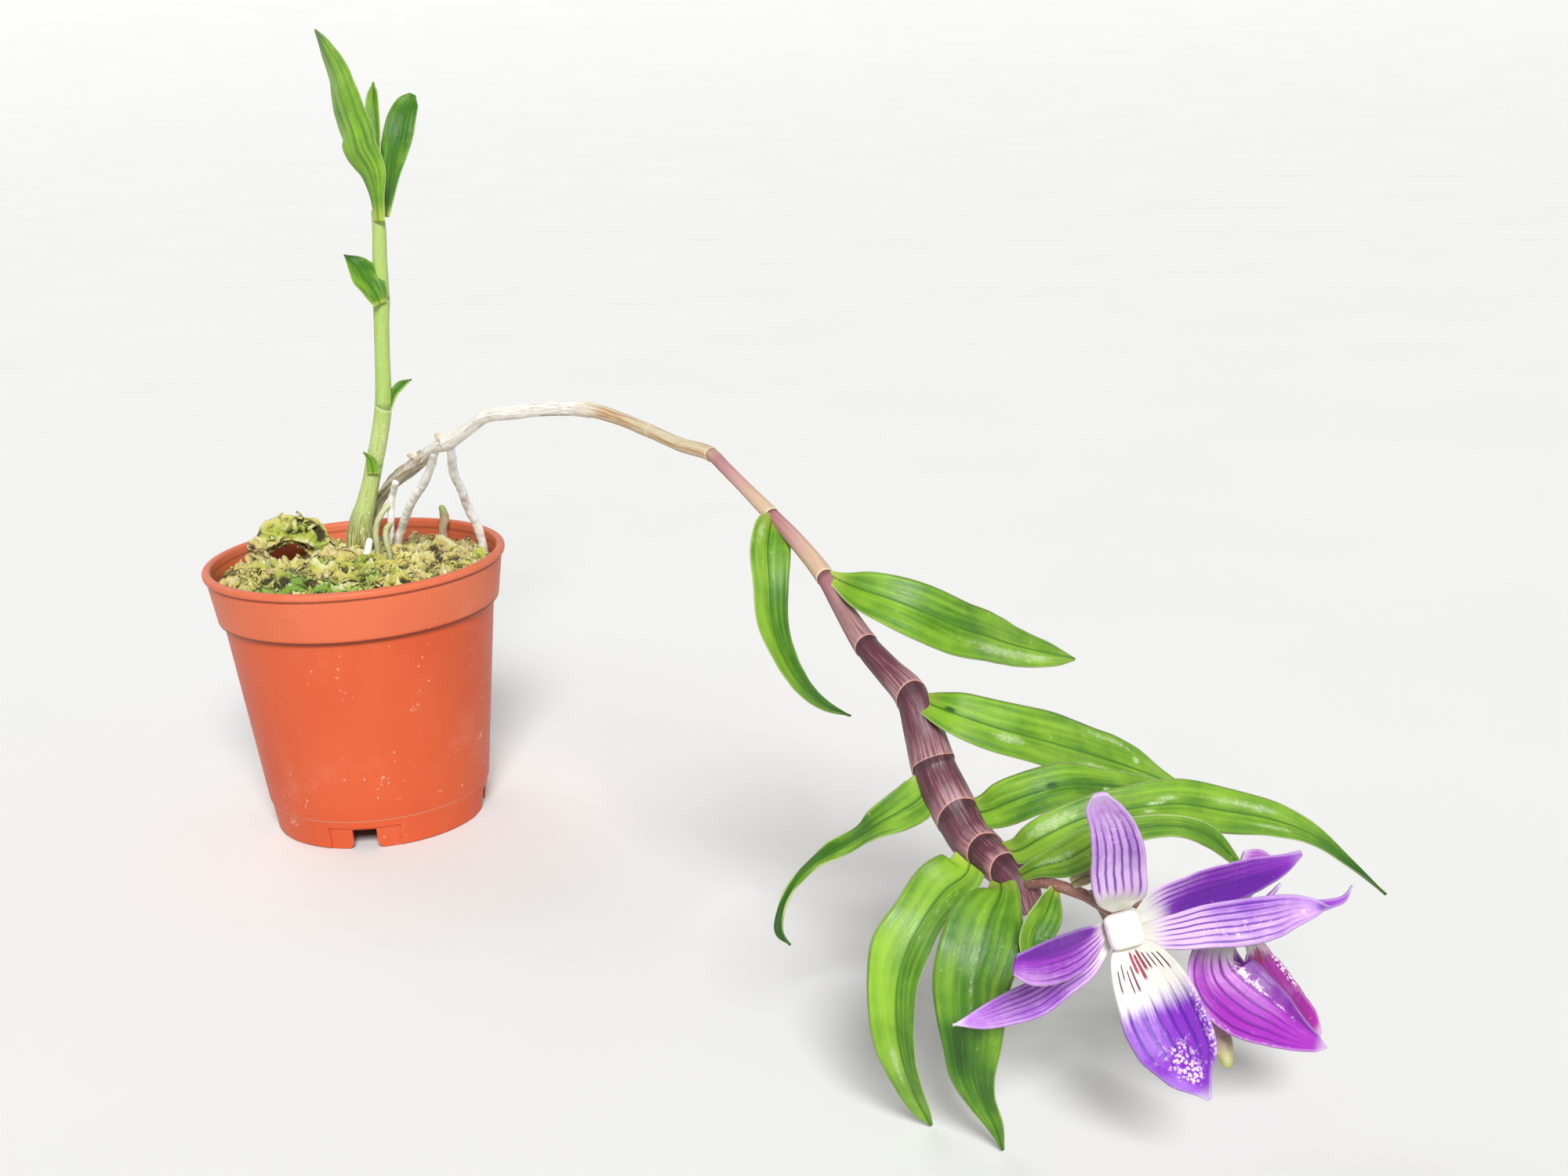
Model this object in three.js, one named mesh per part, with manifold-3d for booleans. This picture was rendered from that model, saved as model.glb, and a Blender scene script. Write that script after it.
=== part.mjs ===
// A small orchid in a round nursery pot: a young upright cane, and an old cane that arches over the rim and
// carries leaves and flowers.
// Lengths are in millimetres, +Z is up. While it is built, the pot's foot stands at the origin.

import * as THREE from 'three';
import { mergeVertices } from 'three/addons/utils/BufferGeometryUtils.js';
import Module from 'manifold-3d';

const wasm = await Module();
wasm.setup();

// Driving dimensions of the pot
const POT = {
  rimRadius: 30,
  height: 55,
  lipHeight: 1.6,
  lipWidth: 0.7,
  bandBottom: 44.5,
  bandBottomRadius: 28,
  wallTopRadius: 27,
  wallBottomRadius: 22.4,
  footTop: 6.1,
  footTopRadius: 22.1,
  footRadius: 21.3,
  wall: 1,
  floorBottom: 4.2,
  floorThickness: 1.2,
  sides: 48,
};
const FOOT_NOTCH = {
  count: 4,
  width: 4.8,
  cornerRadius: 1.4,
  panelWidth: 14,
  panelDepth: 0.35,
  panelTop: 4.6,
};
const DRAIN_HOLE = { radius: 2.2, distance: 14 };

// Driving dimensions of the moss: the bed's level, and the lumps and dips in it
const MOSS = { level: 52.4, rings: 9, sectors: 36, lump: 0.8, rimDrop: 0.6 };
const MOSS_SPOTS = [
  { x: -1, y: 4, height: 1.6, spread: 8 },
  { x: -12, y: -10, height: 1.8, spread: 4.5 },
  { x: 0, y: 27, height: -2.2, spread: 9 },
  { x: 18, y: 22, height: -1.8, spread: 4 },
  { x: -19, y: 17, height: -6, spread: 5 },
];

// Clearances and thicknesses
const GAP = 0.3;
const LEAF_THICKNESS = 0.7;
const PETAL_THICKNESS = 0.7;

// Colours and finishes
const FINISH = {
  pot: { color: 0xe96f47, roughness: 0.38 },
  moss: { color: 0xa9a452, roughness: 0.95 },
  youngCane: { color: 0xa9c463, roughness: 0.42 },
  youngLeaf: { color: 0x7fb52c, roughness: 0.4 },
  oldCane: { color: 0x7a4754, roughness: 0.45 },
  root: { color: 0xe3ddd6, roughness: 0.6 },
  greenRoot: { color: 0xa8a766, roughness: 0.6 },
  stub: { color: 0x8d7f4d, roughness: 0.8 },
  leaf: { color: 0x5da21f, roughness: 0.35 },
  stalk: { color: 0x84505c, roughness: 0.45 },
  bract: { color: 0xcdbfae, roughness: 0.5 },
  sepal: { color: 0xa35fd0, roughness: 0.45 },
  petal: { color: 0x8a3cc4, roughness: 0.45 },
  lip: { color: 0x8c47d8, roughness: 0.4 },
  column: { color: 0xf6f3e6, roughness: 0.4 },
  bud: { color: 0xc4628f, roughness: 0.45 },
};

// Turns a list of vertices and triangles into one closed geometry whose faces point out
function closedGeometry(vertices, triangles) {
  const geometry = new THREE.BufferGeometry();
  const inward = volumeOf(vertices, triangles) < 0;
  const faces = inward ? triangles.map(([a, b, c]) => [a, c, b]) : triangles;
  const positions = vertices.flatMap((v) => v.toArray());
  geometry.setAttribute('position', new THREE.Float32BufferAttribute(positions, 3));
  geometry.setIndex(faces.flat());
  geometry.computeVertexNormals();
  return geometry;
}

function volumeOf(vertices, triangles) {
  const cross = new THREE.Vector3();
  return triangles.reduce(
    (sum, [a, b, c]) => sum + vertices[a].dot(cross.crossVectors(vertices[b], vertices[c])) / 6,
    0,
  );
}

// Manifold's view of a geometry, and back
function toSolid(geometry) {
  const bare = geometry.clone();
  bare.deleteAttribute('normal');
  bare.deleteAttribute('uv');
  const merged = mergeVertices(bare, 1e-4);
  return new wasm.Manifold(new wasm.Mesh({
    numProp: 3,
    vertProperties: new Float32Array(merged.attributes.position.array),
    triVerts: new Uint32Array(merged.index.array),
  }));
}

function fromSolid(solid) {
  const mesh = solid.getMesh();
  const geometry = new THREE.BufferGeometry();
  geometry.setAttribute('position', new THREE.BufferAttribute(new Float32Array(mesh.vertProperties), 3));
  geometry.setIndex(new THREE.BufferAttribute(new Uint32Array(mesh.triVerts), 1));
  geometry.computeVertexNormals();
  return geometry;
}

const vector = ([x, y, z]) => new THREE.Vector3(x, y, z);

// A profile of [radius, height] points turned about the upright axis
function lathe(profile, sides) {
  const geometry = new THREE.LatheGeometry(profile.map(([r, z]) => new THREE.Vector2(r, z)), sides);
  geometry.rotateX(Math.PI / 2);
  return geometry;
}

// The pot

function potProfile() {
  const lipBottom = POT.height - POT.lipHeight;
  const bandTopRadius = POT.rimRadius - POT.lipWidth;
  const floorTop = POT.floorBottom + POT.floorThickness;
  return [
    [0, POT.floorBottom],
    [POT.footRadius - POT.wall, POT.floorBottom],
    [POT.footRadius - POT.wall - 0.1, 0],
    [POT.footRadius - 0.2, 0],
    [POT.footRadius, 0.3],
    [POT.footTopRadius, POT.footTop],
    [POT.wallBottomRadius, POT.footTop + 0.25],
    [POT.wallTopRadius, POT.bandBottom + 0.2],
    [POT.bandBottomRadius - 0.2, POT.bandBottom - 0.1],
    [POT.bandBottomRadius, POT.bandBottom + 0.2],
    [bandTopRadius, lipBottom - 0.5],
    [bandTopRadius - 0.1, lipBottom],
    [POT.rimRadius, lipBottom + 0.3],
    [POT.rimRadius, POT.height - 0.4],
    [POT.rimRadius - 0.4, POT.height],
    [bandTopRadius - POT.wall + 0.3, POT.height],
    [bandTopRadius - POT.wall, POT.height - 0.4],
    [POT.bandBottomRadius - POT.wall, POT.bandBottom + 1.5],
    [POT.wallTopRadius - POT.wall, POT.bandBottom],
    [POT.wallBottomRadius - POT.wall, floorTop + 0.6],
    [POT.wallBottomRadius - POT.wall - 0.6, floorTop],
    [0, floorTop],
  ];
}

// A drainage notch: a slot in the foot ring whose two lower corners are rounded away
function notchCutter() {
  const half = FOOT_NOTCH.width / 2;
  const corner = FOOT_NOTCH.cornerRadius;
  const shape = new THREE.Shape();
  shape.moveTo(-half - corner, -1);
  shape.lineTo(-half - corner, 0);
  shape.absarc(-half - corner, corner, corner, -Math.PI / 2, 0, false);
  shape.lineTo(-half, POT.floorBottom);
  shape.lineTo(half, POT.floorBottom);
  shape.absarc(half + corner, corner, corner, Math.PI, 1.5 * Math.PI, false);
  shape.lineTo(half + corner, -1);
  const cutter = new THREE.ExtrudeGeometry(shape, { depth: 6, bevelEnabled: false, curveSegments: 4 });
  cutter.rotateX(Math.PI / 2);
  cutter.translate(0, -POT.footRadius + 4, 0);
  return cutter;
}

// The shallow panel around a notch: a slice of a ring that is as wide as the panel
function panelCutter() {
  const inner = POT.footRadius - FOOT_NOTCH.panelDepth;
  const rise = POT.footTopRadius - POT.footRadius;
  const ring = lathe([
    [inner, -1],
    [inner + 4, -1],
    [inner + 4, FOOT_NOTCH.panelTop],
    [inner + rise * (FOOT_NOTCH.panelTop / POT.footTop), FOOT_NOTCH.panelTop],
    [inner, 0],
    [inner, -1],
  ], POT.sides);
  const slice = new THREE.BoxGeometry(FOOT_NOTCH.panelWidth, 12, 2 * FOOT_NOTCH.panelTop + 2);
  slice.translate(0, -POT.footRadius, 0);
  return toSolid(ring).intersect(toSolid(slice));
}

function potGeometry() {
  let pot = toSolid(lathe(potProfile(), POT.sides));
  const notch = toSolid(notchCutter());
  const panel = panelCutter();
  const drain = new THREE.CylinderGeometry(DRAIN_HOLE.radius, DRAIN_HOLE.radius, 4, 16);
  drain.rotateX(Math.PI / 2);
  drain.translate(0, -DRAIN_HOLE.distance, POT.floorBottom + POT.floorThickness / 2);
  const hole = toSolid(drain);
  for (let i = 0; i < FOOT_NOTCH.count; i += 1) {
    const turn = [0, 0, (360 * i) / FOOT_NOTCH.count];
    for (const cutter of [notch, panel, hole]) pot = pot.subtract(cutter.rotate(turn));
  }
  return fromSolid(pot);
}

// The inner wall's radius at a height, where the moss lies against it
function innerRadius(z) {
  const wallTop = POT.wallTopRadius - POT.wall;
  const wallBottom = POT.wallBottomRadius - POT.wall;
  if (z < POT.bandBottom) {
    const floorTop = POT.floorBottom + POT.floorThickness;
    return THREE.MathUtils.mapLinear(z, floorTop, POT.bandBottom, wallBottom - 0.6, wallTop);
  }
  const rimInside = POT.rimRadius - POT.lipWidth - POT.wall;
  return THREE.MathUtils.mapLinear(z, POT.bandBottom, POT.height, wallTop, rimInside);
}

// Stems and roots: a tube along a smooth path, closed at both ends. A path point is [x, y, z, radius], with
// the radius just beyond it as a fifth number where a sheath ends.
const SHEATH_EDGE = 0.08;

function sweepGeometry({ path, sides = 8 }, grow = 0) {
  const curve = new THREE.CatmullRomCurve3(path.map(vector), false, 'centripetal');
  const rings = [];
  path.forEach(([, , , before, after = before], i) => {
    rings.push([i, before]);
    if (after !== before) rings.push([i + SHEATH_EDGE, after]);
    if (i + 1 < path.length) rings.push([i + 0.5, (after + path[i + 1][3]) / 2]);
  });
  const vertices = [];
  const triangles = [];
  let across = new THREE.Vector3(1, 0, 0);
  rings.forEach(([at, radius]) => {
    const centre = curve.getPoint(at / (path.length - 1));
    const along = curve.getTangent(at / (path.length - 1));
    if (at === 0) centre.addScaledVector(along, -grow);
    if (at === path.length - 1) centre.addScaledVector(along, grow);
    across = across.clone().addScaledVector(along, -across.dot(along)).normalize();
    const other = new THREE.Vector3().crossVectors(along, across);
    for (let k = 0; k < sides; k += 1) {
      const angle = (2 * Math.PI * k) / sides;
      const out = across.clone().multiplyScalar(Math.cos(angle)).addScaledVector(other, Math.sin(angle));
      vertices.push(centre.clone().addScaledVector(out, radius + grow));
    }
  });
  for (let i = 0; i + 1 < rings.length; i += 1) {
    for (let k = 0; k < sides; k += 1) {
      const a = i * sides + k;
      const b = i * sides + ((k + 1) % sides);
      triangles.push([a, b, b + sides], [a, b + sides, a + sides]);
    }
  }
  const last = (rings.length - 1) * sides;
  for (let k = 1; k + 1 < sides; k += 1) {
    triangles.push([0, k + 1, k], [last, last + k, last + k + 1]);
  }
  return closedGeometry(vertices, triangles);
}

// A path of plain points given one radius, a little narrower at its last point
function evenPath(points, radius) {
  return points.map((point, i) => [...point, i + 1 < points.length ? radius : 0.6 * radius]);
}

// Blades: leaves, bracts, sepals, petals and lips. A spine point is [x, y, z, width]. The sides rise towards
// the face as a fold or a cup, a lean moves the midrib off the middle, and a wave grows towards the edges.
const NARROWEST = 0.5;

function bladeGeometry({
  points, face, lean = 0, fold = 0.3, cup = 0, wave = 0, waves = 3, phase = 0, rows = 14, columns = 4,
}, thickness) {
  const spine = new THREE.CatmullRomCurve3(points.map(vector), false, 'centripetal');
  const steps = points.map((point, i) => new THREE.Vector3(i, point[3], 0));
  const widths = new THREE.CatmullRomCurve3(steps, false, 'catmullrom');
  const [startFace, endFace] = face.map((direction) => vector(direction).normalize());
  const middle = [];
  for (let i = 0; i <= rows; i += 1) {
    const t = i / rows;
    const centre = spine.getPointAt(t);
    const along = spine.getTangentAt(t);
    const up = startFace.clone().lerp(endFace, t);
    up.addScaledVector(along, -up.dot(along)).normalize();
    const across = new THREE.Vector3().crossVectors(along, up);
    const half = Math.max(widths.getPoint(spine.getUtoTmapping(t)).y, NARROWEST) / 2;
    const row = [];
    for (let j = 0; j <= columns; j += 1) {
      const s = (2 * j) / columns - 1;
      const reach = half * (s + lean * Math.abs(s));
      const swing = Math.sin(2 * Math.PI * waves * t + phase + (s > 0 ? 1.3 : 0));
      const ripple = wave * swing * s * s * Math.sin(Math.PI * t);
      const lift = half * (fold * Math.abs(s) + cup * s * s) + ripple;
      row.push(centre.clone().addScaledVector(across, reach).addScaledVector(up, lift));
    }
    middle.push(row);
  }
  return thickened(middle, thickness);
}

// Two alike faces on either side of a grid of points, joined round its edge
function thickened(middle, thickness) {
  const rows = middle.length - 1;
  const columns = middle[0].length - 1;
  const stride = columns + 1;
  const count = (rows + 1) * stride;
  const top = [];
  const bottom = [];
  for (let i = 0; i <= rows; i += 1) {
    for (let j = 0; j <= columns; j += 1) {
      const alongStep = middle[Math.min(i + 1, rows)][j].clone().sub(middle[Math.max(i - 1, 0)][j]);
      const acrossStep = middle[i][Math.min(j + 1, columns)].clone().sub(middle[i][Math.max(j - 1, 0)]);
      const normal = alongStep.cross(acrossStep).normalize();
      top.push(middle[i][j].clone().addScaledVector(normal, thickness / 2));
      bottom.push(middle[i][j].clone().addScaledVector(normal, -thickness / 2));
    }
  }
  const triangles = [];
  for (let i = 0; i < rows; i += 1) {
    for (let j = 0; j < columns; j += 1) {
      const a = i * stride + j;
      const b = a + 1;
      const c = b + stride;
      const d = a + stride;
      triangles.push([a, c, b], [a, d, c]);
      triangles.push([count + a, count + b, count + c], [count + a, count + c, count + d]);
    }
  }
  const edge = [];
  for (let j = 0; j < columns; j += 1) edge.push(j);
  for (let i = 0; i < rows; i += 1) edge.push(i * stride + columns);
  for (let j = columns; j > 0; j -= 1) edge.push(rows * stride + j);
  for (let i = rows; i > 0; i -= 1) edge.push(i * stride);
  edge.forEach((a, k) => {
    const b = edge[(k + 1) % edge.length];
    triangles.push([a, b, count + b], [a, count + b, count + a]);
  });
  return closedGeometry([...top, ...bottom], triangles);
}

// The young cane, from its buried foot over the swollen base to its top
const YOUNG_CANE = {
  path: [
    [-1, 8, 48.5, 1.5], [-1, 8, 50.5, 1.8], [-0.5, 8, 54, 2.6], [0, 8, 56.5, 2.9], [0.5, 8, 59.5, 2.4],
    [2, 8, 63.5, 1.95], [3.5, 8, 68, 1.75], [4.5, 8, 71.5, 1.8, 1.6], [6, 8, 76.5, 1.75],
    [7.5, 8, 83, 1.7, 1.5], [8.5, 8, 94, 1.5], [9, 8, 100, 1.55], [9.5, 8, 105, 1.7, 1.4],
    [10, 8, 112.5, 1.45], [10.5, 8, 118.5, 1.35], [10.5, 8, 122, 1.2],
  ],
  sides: 12,
};

const YOUNG_LEAVES = {
  young_leaf_left: {
    points: [
      [11, 6, 120, 2.5], [11, 6, 125, 3.5], [10.5, 6, 130, 6.5], [8.5, 7, 134, 8.5],
      [7.5, 8.5, 137.5, 9], [6.5, 10.5, 140, 9], [5, 13.5, 144, 8.5], [3.5, 17.5, 148.5, 7],
      [1, 22, 153, 4.5], [-1, 26, 156.5, 0.5],
    ],
    face: [[0.4, 0.9, 0.1], [0.4, 0.8, 0.3]],
    fold: 0.15,
  },
  young_leaf_centre: {
    points: [
      [10.5, 9, 122.5, 1.5], [10.5, 12, 129.5, 2.5], [10.5, 15, 135, 3], [10.5, 17, 141, 3],
      [10.5, 18.5, 144, 2], [10.5, 19, 146, 0],
    ],
    face: [[-0.2, -0.95, 0.2], [-0.2, -0.95, 0.2]],
    fold: 0.8,
    rows: 8,
  },
  young_leaf_right: {
    points: [
      [12, 9.5, 120.5, 1.5], [13, 12, 126.5, 3.5], [13.5, 15, 130.5, 5.5], [14.5, 18, 135, 6.5],
      [15.5, 20, 139, 6], [16.5, 22, 141.5, 4.5], [17.5, 23, 143, 1.5],
    ],
    face: [[-0.3, -0.9, 0.3], [-0.1, -0.95, 0.3]],
    fold: 0.15,
  },
  young_leaf_middle: {
    points: [
      [9.5, 5.5, 104, 3], [8.5, 5.5, 107, 5.5], [7, 5.5, 109.5, 6.5], [5.5, 5.5, 112, 4.5],
      [3.5, 6, 114, 0],
    ],
    face: [[0.2, -0.6, 0.75], [0.2, -0.6, 0.75]],
    fold: 0.25,
    rows: 10,
  },
  young_leaf_small: {
    points: [[8.5, 8, 82, 1.5], [10, 8.5, 85.5, 2], [11.5, 9, 87, 2], [13.5, 9.5, 88, 0]],
    face: [[-0.4, -0.8, 0.4], [-0.2, -0.9, 0.4]],
    rows: 8,
    columns: 2,
  },
  young_bract: {
    points: [[4.5, 5.5, 70, 2.5], [4.5, 5.5, 72, 2.5], [4, 5.5, 73.5, 1.5], [3, 5.5, 74.5, 0]],
    face: [[0, 1, 0], [0, 1, 0]],
    fold: 0.2,
    rows: 6,
    columns: 2,
  },
};

// The old cane, joint by joint from the moss to the flowers
const OLD_CANE = {
  path: [
    [-0.5, 15.5, 48.5, 0.9], [0.5, 15, 56.5, 1], [4, 12, 63, 1.05], [11.5, -0.5, 71, 1.1],
    [16.5, -6.5, 75, 1.35, 1], [20, -11.5, 78, 1], [23.5, -16, 80, 1.6, 1], [29, -23.5, 84, 1.2],
    [33, -29, 87, 1.25], [39.5, -37.5, 89, 1.3, 1.15], [46.5, -46.5, 91, 1.2],
    [54.5, -57.5, 92.5, 1.35, 0.95], [60, -64.5, 92, 1.1], [65.5, -72, 91, 1.15, 0.95],
    [70.5, -79, 90, 1.15], [75.5, -85.5, 89.5, 1.2, 0.9], [77.5, -88.5, 88, 1],
    [80.5, -92.5, 85.5, 1.05], [84.5, -97.5, 82, 1.25, 1], [88.5, -103, 78.5, 1.3],
    [92, -108, 74.5, 1.5, 1.2], [94.5, -111, 70, 1.5], [97.5, -115, 65.5, 1.95, 1.65],
    [100.5, -119, 62.5, 2.1], [103.5, -122.5, 59.5, 2.6, 2.3], [105, -125, 54.5, 3],
    [106, -126, 50, 3.4, 3], [107.5, -128.5, 46.5, 3.35], [109, -130.5, 43.5, 3.35, 3.05],
    [110.5, -132.5, 41, 3.3], [112.5, -135, 39.5, 3.1, 2.8], [115, -138.5, 38, 2.7, 2.45],
    [117, -140.5, 36, 2.4], [118, -141, 33, 1.9],
  ],
  sides: 10,
};

// The old cane's leaves, each from inside the joint that it springs from
const OLD_LEAVES = {
  old_leaf_1: {
    points: [
      [84.5, -98, 82, 1.5], [84, -100.5, 80.5, 6], [83.5, -103, 77.5, 7], [83.5, -105.5, 73, 6],
      [83.5, -107, 67.5, 5.5], [85, -106.5, 61.5, 4], [87.5, -105, 56.5, 3], [91, -102, 52, 2],
      [95, -99, 49, 0],
    ],
    face: [[0.5, -0.85, 0.2], [0.3, -0.75, 0.5]],
    wave: 0.4,
    waves: 2,
  },
  old_leaf_2: {
    points: [
      [92.5, -108.5, 75, 1.5], [94.5, -109.5, 74, 3.5], [97.5, -111, 73, 6.5],
      [102, -112.5, 71.5, 8.5], [106.5, -113, 69.5, 9.5], [111.5, -112, 66.5, 9.5],
      [116, -109.5, 64, 8.5], [121, -106, 61, 6.5], [126.5, -103, 58.5, 4], [130.5, -100, 56.5, 0.5],
    ],
    face: [[0.1, -0.75, 0.65], [0.1, -0.75, 0.65]],
    lean: 0.15,
    wave: 0.3,
    waves: 2,
  },
  old_leaf_3: {
    points: [
      [104, -123, 59.5, 2], [106, -125, 59, 4.5], [109.5, -127, 58, 7], [114.5, -127.5, 56, 8.5],
      [119.5, -127, 54, 9], [125.5, -124.5, 51, 9.5], [132, -121.5, 47.5, 8.5],
      [137.5, -119.5, 44.5, 6], [142, -117, 41.5, 3], [146, -115.5, 39.5, 0],
    ],
    face: [[0.1, -0.7, 0.7], [0.1, -0.7, 0.7]],
    fold: 0.18,
    wave: 0.3,
  },
  old_leaf_4: {
    points: [
      [106, -127, 49, 4], [104, -128, 46, 6.5], [101, -128, 44, 6], [97.5, -127.5, 42, 4.5],
      [94.5, -126, 39.5, 3], [91, -124.5, 37, 3], [88, -124, 35, 2], [85, -123.5, 32, 1.5],
      [82.5, -124, 27.5, 1.5], [82, -125, 24.5, 1.5], [83.5, -125.5, 22.5, 0],
    ],
    face: [[-0.3, -0.85, 0.45], [-0.5, -0.8, 0.2]],
    wave: 0.7,
    waves: 4,
  },
  old_leaf_5: {
    points: [
      [109.5, -130.5, 44, 3], [113, -131.5, 44.5, 5.5], [116, -132.5, 46, 7], [120, -133, 47.5, 7],
      [124.5, -132, 48, 6.5], [130.5, -129.5, 46.5, 5.5], [137, -126.5, 44.5, 4], [144, -123, 42.5, 0],
    ],
    face: [[0.1, -0.75, 0.65], [0.1, -0.7, 0.7]],
    fold: 0.15,
    wave: 0.3,
    waves: 2.5,
    phase: 1,
  },
  old_leaf_6: {
    points: [
      [113, -135.5, 40, 2], [116.5, -138.5, 41, 4], [120, -141, 44, 5.5], [126, -141, 46.5, 6],
      [132.5, -140, 47, 6.5], [139.5, -138, 46.5, 7], [146, -136.5, 44.5, 7], [153.5, -135, 42, 5.5],
      [160.5, -133, 38, 3], [165.5, -132.5, 33.5, 1.5], [171, -132, 28, 0],
    ],
    face: [[0, -0.8, 0.6], [0.3, -0.75, 0.6]],
    fold: 0.2,
    wave: 0.4,
  },
  old_leaf_7: {
    points: [
      [116, -140, 37.5, 1.5], [119, -144.5, 41, 3], [122.5, -147, 43, 5], [127, -148.5, 46, 5],
      [132.5, -148.5, 47.5, 3.5], [138, -147.5, 47, 3], [142.5, -146, 44.5, 3], [146, -145, 40.5, 1.5],
      [148, -145, 38, 0],
    ],
    face: [[-0.1, -0.85, 0.5], [0.2, -0.85, 0.4]],
    fold: 0.2,
    wave: 0.3,
    waves: 2,
  },
  old_leaf_8: {
    points: [
      [110.5, -134, 40, 3], [109.5, -137, 37.5, 6.5], [106, -139.5, 36, 8], [102.5, -142.5, 33, 7.5],
      [100, -144.5, 29.5, 8.5], [98.5, -146, 25.5, 7.5], [98, -147, 20.5, 6.5],
      [98.5, -146.5, 14.5, 5.5], [100, -144.5, 7.5, 4], [101.5, -142.5, 3, 2.5],
      [102.5, -142, 0.5, 0.5],
    ],
    face: [[-0.2, -0.8, 0.5], [-0.3, -0.9, 0.1]],
    lean: 0.2,
    fold: 0.25,
    wave: 0.4,
    phase: 0.6,
  },
  old_leaf_9: {
    points: [
      [114, -139.5, 37, 3], [113.5, -144, 37, 5.5], [111.5, -147.5, 35, 10], [110, -150, 32, 11.5],
      [108.5, -152, 28.5, 11], [108, -153, 24, 10], [108, -153, 19.5, 8.5], [108, -152, 14, 6.5],
      [109, -151, 9.5, 4.5], [111, -150.5, 4.5, 2.5], [112, -150, 0.5, 0.5],
    ],
    face: [[-0.15, -0.85, 0.4], [-0.25, -0.9, 0.1]],
    fold: 0.2,
    wave: 0.4,
    waves: 2.5,
    phase: 2,
  },
  old_leaf_10: {
    points: [
      [120.5, -147, 38.5, 2], [119, -149.5, 36.5, 5], [117, -151.5, 34, 5.5],
      [117, -152.5, 31, 4.5], [117.5, -153, 28, 2],
    ],
    face: [[0.4, -0.9, 0.2], [0.4, -0.9, 0.2]],
    fold: 0.4,
    rows: 8,
  },
};

// Roots and the dead stub: the points of a path from the old cane into the moss
const ROOTS = {
  root_right: {
    points: [
      [23.5, -15.5, 79.5], [23.5, -14, 77.5], [23, -10.5, 75], [22.5, -6.5, 71.5], [23, -2.5, 67.5],
      [23.5, 1.5, 62.5], [24.5, 4.5, 58], [25, 7, 52], [24, 7.5, 47],
    ],
    radius: 0.9,
  },
  root_middle: {
    points: [
      [20, -11.5, 77.5], [18.5, -7.5, 74], [16, -3, 69.5], [13, 1, 65.5], [10.5, 5, 61.5],
      [8.5, 8.5, 57.5], [6.5, 11, 53], [6, 11.5, 48],
    ],
    radius: 0.85,
  },
  root_left: {
    points: [
      [10, 0.5, 69.5], [8.5, 3.5, 66.5], [7.5, 5, 63.5], [7, 6, 60], [6.5, 7, 57], [5.5, 8, 54],
      [5, 8.5, 48],
    ],
    radius: 0.7,
  },
  root_loop_outer: {
    points: [[7.5, 5, 64], [6, 4, 62.5], [4.5, 3.5, 60], [4, 3.5, 57.5], [4, 4, 55], [3.5, 4.5, 50]],
    radius: 0.6,
    finish: 'greenRoot',
  },
  root_loop_inner: {
    points: [[7, 6, 59.5], [6, 4.5, 58.5], [6, 3.5, 56], [6.5, 3.5, 53], [6.5, 3.5, 50]],
    radius: 0.55,
    finish: 'greenRoot',
  },
  root_short: {
    points: [[3, 2, 57.5], [2.5, 2, 55.5], [2, 1.5, 53.5], [2, 1.5, 50]],
    radius: 0.7,
  },
  dead_stub: {
    points: [[15, 21, 46], [15, 21, 51], [15, 21, 54], [15.5, 21, 56.5], [15, 21, 59]],
    radius: 0.9,
    finish: 'stub',
  },
};

// The flower stalk with the pedicel of the first flower, the second flower's pedicel and the bud's
const STALK_STEMS = [
  {
    points: [
      [116.5, -140.5, 36.5], [119, -144, 38.5], [121.5, -147, 39], [125, -147.5, 37.5],
      [128.5, -148, 35], [129.5, -151, 35],
    ],
    radius: 0.85,
  },
  {
    points: [
      [125, -147.5, 37.5], [127.5, -145.5, 37], [132, -142.5, 34], [138, -140.5, 30.5],
      [144, -143, 29.5],
    ],
    radius: 0.7,
  },
  {
    points: [[125, -147.5, 37.5], [127, -145, 35], [130, -142, 29], [136.5, -141, 22]],
    radius: 0.6,
  },
];
const STALK_BRACT = {
  points: [[123, -147.5, 39.5, 1.5], [125, -147.5, 40.5, 2.5], [127.5, -147.5, 40, 0]],
  face: [[0.1, -0.8, 0.6], [0.1, -0.8, 0.6]],
  fold: 0.3,
  rows: 6,
  columns: 2,
};
const BUD = {
  path: [
    [136, -141, 22, 0.8], [139, -143.5, 18.5, 1.6], [142, -146, 16.5, 2], [143.5, -148, 14, 1.7],
    [144, -150.5, 11.5, 0.6],
  ],
  sides: 8,
};

// Flowers: a column turned from a profile along an axis, and five tepals and a lip that spring from it
const COLUMN_PROFILE = [[0.9, 0], [1.3, 1.2], [2.1, 2.6], [2.8, 4.2], [2.9, 5.6], [2.4, 6.4], [1.4, 6.8]];

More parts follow.
